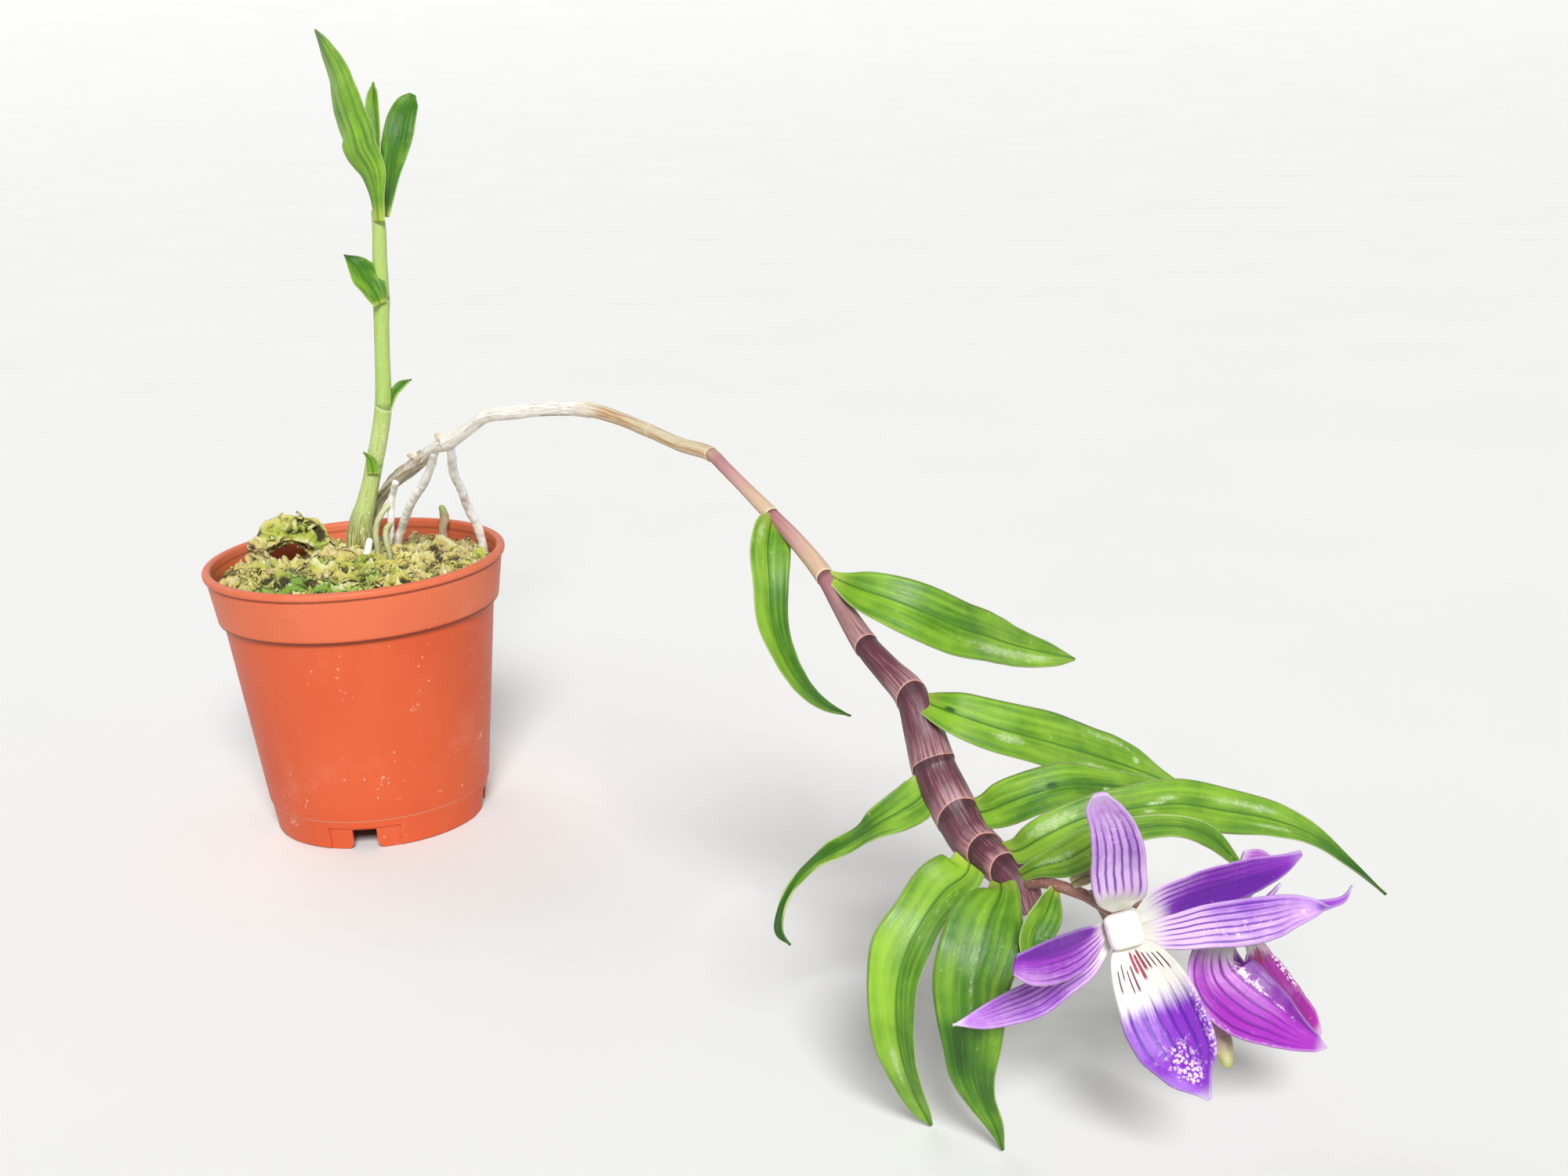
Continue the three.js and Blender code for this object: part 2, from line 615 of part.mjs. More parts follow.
const FLOWERS = {
  flower_1: {
    column: { from: [129.5, -151, 35], towards: [128.5, -158, 36.5] },
    dorsal_sepal: {
      points: [
        [129, -152, 37.2, 2.5], [128.5, -152.8, 39, 5.5], [128.5, -154.5, 41.3, 7.2],
        [128, -156.5, 45, 7.5], [127.5, -159.5, 50, 7], [126.5, -161.5, 54, 6],
        [125, -163.5, 57.5, 4.5], [124.5, -165, 59.5, 2],
      ],
      face: [[0, -0.7, -0.7], [0, -0.85, -0.5]],
    },
    petal_right: {
      points: [
        [130.5, -152.5, 35.8, 1.5], [132, -152.2, 36.6, 3.5], [135, -152, 38.2, 6.5], [139.5, -150.5, 39, 7.8],
        [144, -149.5, 39.5, 7.5], [148.5, -149, 40.5, 6], [152, -149, 41.5, 3.5],
        [154.5, -148.5, 42.5, 1],
      ],
      face: [[-0.1, -0.9, -0.3], [-0.1, -0.9, -0.3]],
    },
    sepal_right: {
      points: [
        [130, -153, 34.8, 1.5], [132, -154, 34.3, 3.5], [136, -155.5, 35.2, 5], [140, -156, 36, 6],
        [144.5, -156.5, 36.5, 6.5], [148.5, -156.5, 37, 6], [152, -155, 37, 4.5], [155, -154.5, 37, 2.5],
        [157, -154.5, 37, 0],
      ],
      face: [[-0.2, -0.95, 0.2], [-0.2, -0.95, 0.2]],
    },
    petal_left: {
      points: [
        [128.5, -152.5, 35.5, 1.5], [126.5, -154, 35.5, 2], [124.5, -156, 35, 4],
        [121.5, -160, 35.3, 6], [118, -164, 36.2, 6.5], [115, -167, 37.2, 5.5], [112.5, -169, 38.3, 3],
      ],
      face: [[0.5, -0.7, 0.3], [0.7, -0.7, 0]],
    },
    sepal_left: {
      points: [
        [128.5, -152.5, 34.5, 1], [126, -154, 32.5, 2], [123.5, -155, 30.5, 3.5], [120, -156, 29, 4.5],
        [116.5, -156.5, 27, 5], [113, -157, 26, 4.5], [109, -157.5, 25, 3], [105, -158, 24.5, 0],
      ],
      face: [[0.1, -0.9, 0.4], [0, -0.9, 0.4]],
    },
    lip: {
      points: [
        [129.5, -154, 34, 2], [130, -156, 32.5, 6.5], [131, -158, 30.5, 9], [132.3, -160.5, 28, 10.6],
        [133.3, -162.5, 25.5, 11.3], [134.8, -164.5, 22.5, 10.5], [136, -165.5, 19.5, 7],
        [137.2, -166.5, 17.5, 3], [138, -167, 16, 0.5],
      ],
      face: [[-0.2, -0.75, 0.6], [-0.4, -0.85, 0.3]],
      cup: 0.35,
      columns: 6,
    },
  },
  flower_2: {
    column: { from: [144, -143, 29.5], towards: [150, -144, 30] },
    dorsal_sepal: {
      points: [
        [146.5, -142.5, 31, 1.5], [148.5, -141.5, 33.5, 3], [150.3, -141.5, 36, 4],
        [150.3, -142, 38, 4], [149.3, -142.5, 39.3, 3.5], [147.5, -143, 40, 2],
      ],
      face: [[0.8, -0.4, -0.5], [0.4, -0.9, 0]],
      rows: 8,
    },
    petal_left: {
      points: [
        [147, -143.5, 31, 1.5], [149, -144.5, 33, 3], [151, -145, 35, 3], [152.5, -145, 36.5, 0.5],
      ],
      face: [[0.6, -0.5, -0.6], [0.6, -0.5, -0.6]],
      rows: 8,
    },
    petal_right: {
      points: [
        [147.5, -142, 29.5, 1.5], [150, -140.5, 29.5, 2.5], [153.5, -139.5, 29.5, 3],
        [157.5, -138.5, 29.5, 2.5], [161, -137.5, 29.5, 1.5], [163.5, -137, 30, 1],
        [165, -136, 31.5, 0],
      ],
      face: [[0.1, -0.9, 0.4], [0, -0.9, 0.4]],
    },
    sepal_left: {
      points: [
        [145.5, -144.5, 29, 1.5], [142.8, -147.5, 27.5, 7], [142.8, -149.5, 25, 10.5],
        [145.7, -151, 22, 11], [149.6, -152, 19.5, 8.5], [153, -152, 17, 5.2], [156, -151.5, 15, 2.5],
        [157.5, -151, 14, 0.5],
      ],
      face: [[0.3, -0.8, 0.5], [0.2, -0.85, 0.5]],
    },
    sepal_right: {
      points: [
        [146, -142.5, 28.5, 1], [145.5, -142, 25.5, 3], [146, -142.5, 22, 5.5], [148, -143, 18, 6],
        [150.5, -144, 15, 4], [153, -144, 13, 2], [154.5, -144, 12, 0],
      ],
      face: [[0.4, -0.8, 0.4], [0.3, -0.85, 0.4]],
    },
    lip: {
      points: [
        [148, -144, 28, 1.5], [149, -144.5, 26.5, 3.5], [149.5, -145.5, 24.5, 5.5],
        [151, -146.5, 21.5, 6.5], [153, -147.5, 18.5, 6.5], [155.5, -147.5, 16, 5],
        [157.5, -147.5, 14, 1.5],
      ],
      face: [[0.3, -0.8, 0.5], [0.3, -0.8, 0.5]],
      cup: 0.2,
      columns: 6,
    },
  },
};
const TEPAL_FINISH = {
  dorsal_sepal: 'sepal',
  sepal_left: 'sepal',
  sepal_right: 'sepal',
  petal_left: 'petal',
  petal_right: 'petal',
  lip: 'lip',
};

function columnGeometry({ from, towards }, grow = 0) {
  const length = COLUMN_PROFILE[COLUMN_PROFILE.length - 1][1];
  const side = COLUMN_PROFILE.map(([r, z]) => new THREE.Vector2(r + grow, z + (2 * z / length - 1) * grow));
  const ends = [new THREE.Vector2(0, -grow), new THREE.Vector2(0, length + grow)];
  const geometry = new THREE.LatheGeometry([ends[0], ...side, ends[1]], 12);
  const axis = vector(towards).sub(vector(from)).normalize();
  geometry.applyQuaternion(new THREE.Quaternion().setFromUnitVectors(new THREE.Vector3(0, 1, 0), axis));
  geometry.translate(...from);
  return geometry;
}

// The stalk's branches join in one body, each sunk into the main stem
function stalkGeometry(grow = 0) {
  const stems = STALK_STEMS.map(({ points, radius }) => (
    toSolid(sweepGeometry({ path: evenPath(points, radius) }, grow))
  ));
  return fromSolid(stems.reduce((joined, stem) => joined.add(stem)));
}

// A piece that springs from others: cut back to just off each of them, in one body
function seated(geometry, others) {
  const cut = others.reduce((rest, other) => rest.subtract(toSolid(other)), toSolid(geometry));
  return fromSolid(cut.decompose().reduce((most, body) => (body.volume() > most.volume() ? body : most)));
}

// The moss: a bed whose top is a field of heights, with an arched clump on it, and a hole for each stem
function mossHeight(x, y) {
  const lumps = Math.sin(0.55 * x + 1.3 * Math.sin(0.31 * y)) * Math.cos(0.5 * y - 0.9 * Math.sin(0.27 * x))
    + 0.5 * Math.sin(1.1 * x - 0.7 * y);
  const spots = MOSS_SPOTS.map((spot) => {
    const away = (x - spot.x) ** 2 + (y - spot.y) ** 2;
    return spot.height * Math.exp(-away / (2 * spot.spread ** 2));
  });
  return spots.reduce((sum, height) => sum + height, MOSS.level + MOSS.lump * lumps);
}

function mossBed() {
  const vertices = [];
  const triangles = [];
  const floor = POT.floorBottom + POT.floorThickness + GAP;
  const clear = GAP + 0.15;
  const ring = (radius, heightAt) => {
    for (let k = 0; k < MOSS.sectors; k += 1) {
      const angle = (2 * Math.PI * k) / MOSS.sectors;
      const x = radius * Math.cos(angle);
      const y = radius * Math.sin(angle);
      vertices.push(new THREE.Vector3(x, y, heightAt(x, y)));
    }
  };
  ring(innerRadius(floor) - clear, () => floor);
  ring(innerRadius(POT.bandBottom) - clear, () => POT.bandBottom);
  const topRadius = innerRadius(MOSS.level - 3) - clear;
  for (let i = MOSS.rings; i > 0; i -= 1) {
    ring((topRadius * i) / MOSS.rings, (x, y) => mossHeight(x, y) - (i === MOSS.rings ? MOSS.rimDrop : 0));
  }
  const rings = vertices.length / MOSS.sectors;
  for (let i = 0; i + 1 < rings; i += 1) {
    for (let k = 0; k < MOSS.sectors; k += 1) {
      const a = i * MOSS.sectors + k;
      const b = i * MOSS.sectors + ((k + 1) % MOSS.sectors);
      triangles.push([a, b, b + MOSS.sectors], [a, b + MOSS.sectors, a + MOSS.sectors]);
    }
  }
  const last = (rings - 1) * MOSS.sectors;
  vertices.push(new THREE.Vector3(0, 0, floor), new THREE.Vector3(0, 0, mossHeight(0, 0)));
  for (let k = 0; k < MOSS.sectors; k += 1) {
    const next = (k + 1) % MOSS.sectors;
    triangles.push([next, k, vertices.length - 2], [last + k, last + next, vertices.length - 1]);
  }
  return closedGeometry(vertices, triangles);
}

// The clump that arches over the hollow at the left: a thick bumpy rope of moss with both ends in the bed
const CLUMP = {
  path: [
    [-23, 8.5, 48, 1.8], [-22.5, 9.5, 52, 2], [-20.5, 11, 55.5, 2.3], [-17.5, 12, 57.5, 2.9],
    [-14.5, 12, 58, 2.4], [-11.5, 12, 57, 2.9], [-9, 13, 53.5, 2.6], [-7.5, 14, 49, 2],
  ],
  sides: 9,
};

function mossGeometry(stems) {
  const bed = toSolid(mossBed()).add(toSolid(sweepGeometry(CLUMP)));
  return seated(fromSolid(bed), stems.map((stem) => sweepGeometry(stem, GAP)));
}

// The whole plant in its pot

const plant = new THREE.Group();

function addPiece(name, geometry, finish) {
  const look = { ...FINISH[finish], metalness: 0, side: THREE.DoubleSide };
  const material = new THREE.MeshStandardMaterial(look);
  const mesh = new THREE.Mesh(geometry, material);
  mesh.name = name;
  plant.add(mesh);
}

const roots = Object.entries(ROOTS).map(([name, { points, radius, finish = 'root' }]) => (
  { name, finish, stem: { path: evenPath(points, radius), sides: 7 } }
));
const rootLeft = roots.find((root) => root.name === 'root_left');
const nearYoungCane = [sweepGeometry(YOUNG_CANE, GAP)];
const nearOldCane = [sweepGeometry(OLD_CANE, GAP)];
const nearRoot = [...nearOldCane, sweepGeometry(rootLeft.stem, GAP)];
const nearColumns = Object.values(FLOWERS).map(({ column }) => columnGeometry(column, GAP));
const nearStalk = [...nearOldCane, stalkGeometry(GAP)];

addPiece('pot', potGeometry(), 'pot');
addPiece('moss_bed', mossGeometry([YOUNG_CANE, OLD_CANE, ...roots.map((root) => root.stem)]), 'moss');
addPiece('young_cane', sweepGeometry(YOUNG_CANE), 'youngCane');
for (const [name, leaf] of Object.entries(YOUNG_LEAVES)) {
  addPiece(name, seated(bladeGeometry(leaf, LEAF_THICKNESS), nearYoungCane), 'youngLeaf');
}
addPiece('old_cane', sweepGeometry(OLD_CANE), 'oldCane');
for (const root of roots) {
  const near = root === rootLeft ? nearOldCane : nearRoot;
  addPiece(root.name, seated(sweepGeometry(root.stem), near), root.finish);
}
for (const [name, leaf] of Object.entries(OLD_LEAVES)) {
  addPiece(name, seated(bladeGeometry(leaf, LEAF_THICKNESS), nearStalk), 'leaf');
}
const nearStalkEnds = [...nearOldCane, ...nearColumns, sweepGeometry(BUD, GAP)];
addPiece('flower_stalk', seated(stalkGeometry(), nearStalkEnds), 'stalk');
addPiece('flower_stalk_bract', seated(bladeGeometry(STALK_BRACT, LEAF_THICKNESS), nearStalk), 'bract');
addPiece('flower_bud', sweepGeometry(BUD), 'bud');
for (const [flower, { column, ...tepals }] of Object.entries(FLOWERS)) {
  addPiece(`${flower}_column`, columnGeometry(column), 'column');
  for (const [name, tepal] of Object.entries(tepals)) {
    const blade = bladeGeometry({ rows: 12, fold: 0, cup: 0.2, ...tepal }, PETAL_THICKNESS);
    addPiece(`${flower}_${name}`, seated(blade, [...nearColumns, stalkGeometry(GAP)]), TEPAL_FINISH[name]);
  }
}

// The part's own origin is the middle of its footprint, on the surface that the pot stands on
const box = new THREE.Box3().setFromObject(plant, true);
plant.position.set(-(box.min.x + box.max.x) / 2, -(box.min.y + box.max.y) / 2, -box.min.z);

const part = new THREE.Group();
part.add(plant);

export default part;
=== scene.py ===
"""Looks for a small potted orchid: a young upright cane, and an old cane that arches over the pot's rim with
its leaves and flowers. Shapes are worked out in millimetres about the middle of the pot's foot."""

import math

import bpy
import numpy as np
from mathutils import Matrix, Vector


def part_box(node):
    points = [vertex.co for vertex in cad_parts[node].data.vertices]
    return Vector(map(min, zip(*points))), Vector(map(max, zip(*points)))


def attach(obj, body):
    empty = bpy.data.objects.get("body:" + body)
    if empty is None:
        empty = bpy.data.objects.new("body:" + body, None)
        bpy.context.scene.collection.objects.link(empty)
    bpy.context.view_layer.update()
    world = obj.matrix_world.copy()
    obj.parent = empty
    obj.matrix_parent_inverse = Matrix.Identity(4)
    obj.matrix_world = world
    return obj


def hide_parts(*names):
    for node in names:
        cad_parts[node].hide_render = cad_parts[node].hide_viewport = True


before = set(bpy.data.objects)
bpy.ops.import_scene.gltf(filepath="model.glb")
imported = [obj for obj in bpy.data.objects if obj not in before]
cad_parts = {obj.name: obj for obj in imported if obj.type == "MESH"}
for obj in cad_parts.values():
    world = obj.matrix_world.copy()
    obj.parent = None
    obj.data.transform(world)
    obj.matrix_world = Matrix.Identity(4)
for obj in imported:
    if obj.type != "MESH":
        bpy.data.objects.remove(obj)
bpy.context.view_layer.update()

bl_info = {
    "name": "Potted Orchid",
    "version": (1, 0, 0),
    "blender": (4, 5, 0),
    "location": "3D View > Sidebar > Orchid",
    "description": "Builds a small potted orchid with an arching cane, leaves, roots, moss and flowers",
    "category": "Add Mesh",
}

MM = 0.001
POT_LOW, POT_HIGH = (np.array(corner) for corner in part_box("pot"))
FOOT = np.array([(POT_LOW[0] + POT_HIGH[0]) / 2, (POT_LOW[1] + POT_HIGH[1]) / 2, POT_LOW[2]])

# The pot's sizes
POT = {
    "rim_radius": 30,
    "height": 55,
    "lip_height": 1.6,
    "lip_width": 0.7,
    "band_bottom": 44.5,
    "band_bottom_radius": 28,
    "wall_top_radius": 27,
    "wall_bottom_radius": 22.4,
    "foot_top": 6.1,
    "foot_top_radius": 22.1,
    "foot_radius": 21.3,
    "wall": 1,
    "floor_bottom": 4.2,
    "floor_thickness": 1.2,
}
NOTCH = {"count": 4, "width": 4.8, "corner": 1.4, "panel_width": 14, "panel_depth": 0.35, "panel_top": 4.6}
DRAIN_HOLE = {"radius": 2.2, "distance": 14}

# The moss: its level with its waves and folds, the bed's edges, and the lumps and dips as x, y, height, spread
MOSS = {
    "level": 52.4, "lump": 0.8, "fold": 5, "sunk": 2.4, "radius": 27.2, "rim_drop": 0.7,
    "shoulder": 44.5, "shoulder_radius": 26, "bottom": 5.8, "bottom_radius": 20.6,
}
MOSS_SPOTS = [[-1, 4, 1.6, 8], [-12, -10, 1.8, 4.5], [0, 27, -2.2, 9], [18, 22, -1.8, 4], [-19, 17, -6, 5]]
# The arched clump of moss: points as x, y, z and radius
CLUMP = [
    [-23, 8.5, 48, 1.8], [-22.5, 9.5, 52, 2], [-20.5, 11, 55.5, 2.3], [-17.5, 12, 57.5, 2.9],
    [-14.5, 12, 58, 2.4], [-11.5, 12, 57, 2.9], [-9, 13, 53.5, 2.6], [-7.5, 14, 49, 2],
]
# How much greener the moss is in places, as x, y, gain and spread
MOSS_GREEN = [[-14, -16, 0.4, 5], [-3, -17, 0.3, 4], [4, -18, 0.25, 4], [14, 18, -0.3, 8]]
# The scraps of moss: their least and further length and width, how thick they are and how far their edges
# sag, how much they tilt, curl and twist, how high they lie, and beyond which radius they are shorter
SCRAP = {
    "length": [1.4, 4], "width": [0.4, 1.3], "thickness": 0.12, "sag": 1.6, "loops": 6,
    "tilt": 0.34, "curl": 1.1, "twist": 0.9, "over": 0.2, "edge": 23, "shorter": 0.65,
}

# Where the rings of a stem start: the side that their first point looks to
YOUNG_SIDE = [0.77, -0.64, 0]
OLD_SIDE = [0.77, 0.64, 0]
STEM_SIDE = [0.3, 0.4, 0.87]

# The canes: points as x, y, z and radius, with the next sheath's radius where a sheath ends
YOUNG_CANE = [
    [-1, 8, 48.5, 1.5], [-1, 8, 50.5, 1.8], [-0.5, 8, 54, 2.6], [0, 8, 56.5, 2.9], [0.5, 8, 59.5, 2.4],
    [2, 8, 63.5, 1.95], [3.5, 8, 68, 1.75], [4.5, 8, 71.5, 1.8, 1.6], [6, 8, 76.5, 1.75],
    [7.5, 8, 83, 1.7, 1.5], [8.5, 8, 94, 1.5], [9, 8, 100, 1.55], [9.5, 8, 105, 1.7, 1.4],
    [10, 8, 112.5, 1.45], [10.5, 8, 118.5, 1.35], [10.5, 8, 122, 1.2],
]
OLD_CANE = [
    [-0.5, 15.5, 48.5, 0.9], [0.5, 15, 56.5, 1], [4, 12, 63, 1.05], [11.5, -0.5, 71, 1.1],
    [16.5, -6.5, 75, 1.35, 1], [20, -11.5, 78, 1], [23.5, -16, 80, 1.6, 1], [29, -23.5, 84, 1.2],
    [33, -29, 87, 1.25], [39.5, -37.5, 89, 1.3, 1.15], [46.5, -46.5, 91, 1.2],
    [54.5, -57.5, 92.5, 1.35, 0.95], [60, -64.5, 92, 1.1], [65.5, -72, 91, 1.15, 0.95],
    [70.5, -79, 90, 1.15], [75.5, -85.5, 89.5, 1.2, 0.9], [77.5, -88.5, 88, 1], [80.5, -92.5, 85.5, 1.05],
    [84.5, -97.5, 82, 1.25, 1], [88.5, -103, 78.5, 1.3], [92, -108, 74.5, 1.5, 1.2], [94.5, -111, 70, 1.5],
    [97.5, -115, 65.5, 1.95, 1.65], [100.5, -119, 62.5, 2.1], [103.5, -122.5, 59.5, 2.6, 2.3],
    [105, -125, 54.5, 3], [106, -126, 50, 3.4, 3], [107.5, -128.5, 46.5, 3.35],
    [109, -130.5, 43.5, 3.35, 3.05], [110.5, -132.5, 41, 3.3], [112.5, -135, 39.5, 3.1, 2.8],
    [115, -138.5, 38, 2.7, 2.45], [117, -140.5, 36, 2.4], [118, -141, 33, 1.9],
]

# Where the old cane's looks change, as numbers of its points, and over how many points each change goes
ZONES = {"beige": [10.5, 1], "blush": [14.6, 1], "plum": [19.5, 2.5], "fibrous": [5.2, -1], "dry": [15, -4]}
# A sheath's mouth: how far on each loop of its lip lies, and how far it turns in as a share of the lip
MOUTH = {"on": [0.08, 0.12, 0.08, -0.2, -0.8], "inward": [0.02, 0.08, 0.16, 0.2, 0.2]}

# A leaf's or petal's loops from foot to tip, and its columns from edge to edge
BLADE = {"rows": 110, "columns": 24}
# The leaves: spine points as x, y, z and width, and the way that the face looks at both ends. Some patches
# lighten or darken a place on the blade: its own colour varies, with dark spots and tips, and painted shade
# lies where a fold or a flower shades it. Others paint highlights with pale glints on it, and a few narrow
# ones make small pale flecks. Each patch is a place along (0 to 1) and across (-1 to 1), its spreads, and a
# strength.
YOUNG_LEAVES = {
    "young_leaf_left": {
        "points": [
            [11, 6, 120, 2.5], [11, 6, 125, 3.5], [10.5, 6, 130, 6.5], [8.5, 7, 134, 8.5],
            [7.5, 8.5, 137.5, 9], [6.5, 10.5, 140, 9], [5, 13.5, 144, 8.5], [3.5, 17.5, 148.5, 7],
            [1, 22, 153, 4.5], [-1, 26, 156.5, 0.5],
        ],
        "face": [[0.4, 0.9, 0.1], [0.4, 0.8, 0.3]], "fold": 0.15,
        "tone": [[0.6, -0.5, 0.6, 0.6, 0.15], [0.95, 0, 0.15, 1, -0.3]],
    },
    "young_leaf_centre": {
        "points": [
            [10.5, 9, 122.5, 1.5], [10.5, 12, 129.5, 2.5], [10.5, 15, 135, 3], [10.5, 17, 141, 3],
            [10.5, 18.5, 144, 2], [10.5, 19, 146, 0],
        ],
        "face": [[-0.2, -0.95, 0.2], [-0.2, -0.95, 0.2]], "fold": 0.8,
        "tone": [[0.5, 0, 0.5, 1, 0.1]],
        "shine": [[0.6, 0.1, 0.3, 0.2, 1]],
    },
    "young_leaf_right": {
        "points": [
            [12, 9.5, 120.5, 1.5], [13, 12, 126.5, 3.5], [13.5, 15, 130.5, 5.5], [14.5, 18, 135, 6.5],
            [15.5, 20, 139, 6], [16.5, 22, 141.5, 4.5], [17.5, 23, 143, 1.5],
        ],
        "face": [[-0.3, -0.9, 0.3], [-0.1, -0.95, 0.3]], "fold": 0.15,
        "tone": [[0.6, 0, 0.7, 1.5, -0.6]],
    },
    "young_leaf_middle": {
        "points": [
            [9.5, 5.5, 104, 3], [8.5, 5.5, 107, 5.5], [7, 5.5, 109.5, 6.5], [5.5, 5.5, 112, 4.5],
            [3.5, 6, 114, 0],
        ],
        "face": [[0.2, -0.6, 0.75], [0.2, -0.6, 0.75]], "fold": 0.25,
        "tone": [[0.6, 0.4, 0.4, 0.6, -0.6], [1, 0, 0.15, 1, -1.2]],
    },
    "young_leaf_small": {
        "points": [[8.5, 8, 82, 1.5], [10, 8.5, 85.5, 2], [11.5, 9, 87, 2], [13.5, 9.5, 88, 0]],
        "face": [[-0.4, -0.8, 0.4], [-0.2, -0.9, 0.4]],
        "tone": [[0.7, 0, 0.6, 1, -0.5]],
    },
    "young_bract": {
        "points": [[4.5, 5.5, 70, 2.5], [4.5, 5.5, 72, 2.5], [4, 5.5, 73.5, 1.5], [3, 5.5, 74.5, 0]],
        "face": [[0, 1, 0], [0, 1, 0]], "fold": 0.2,
    },
}
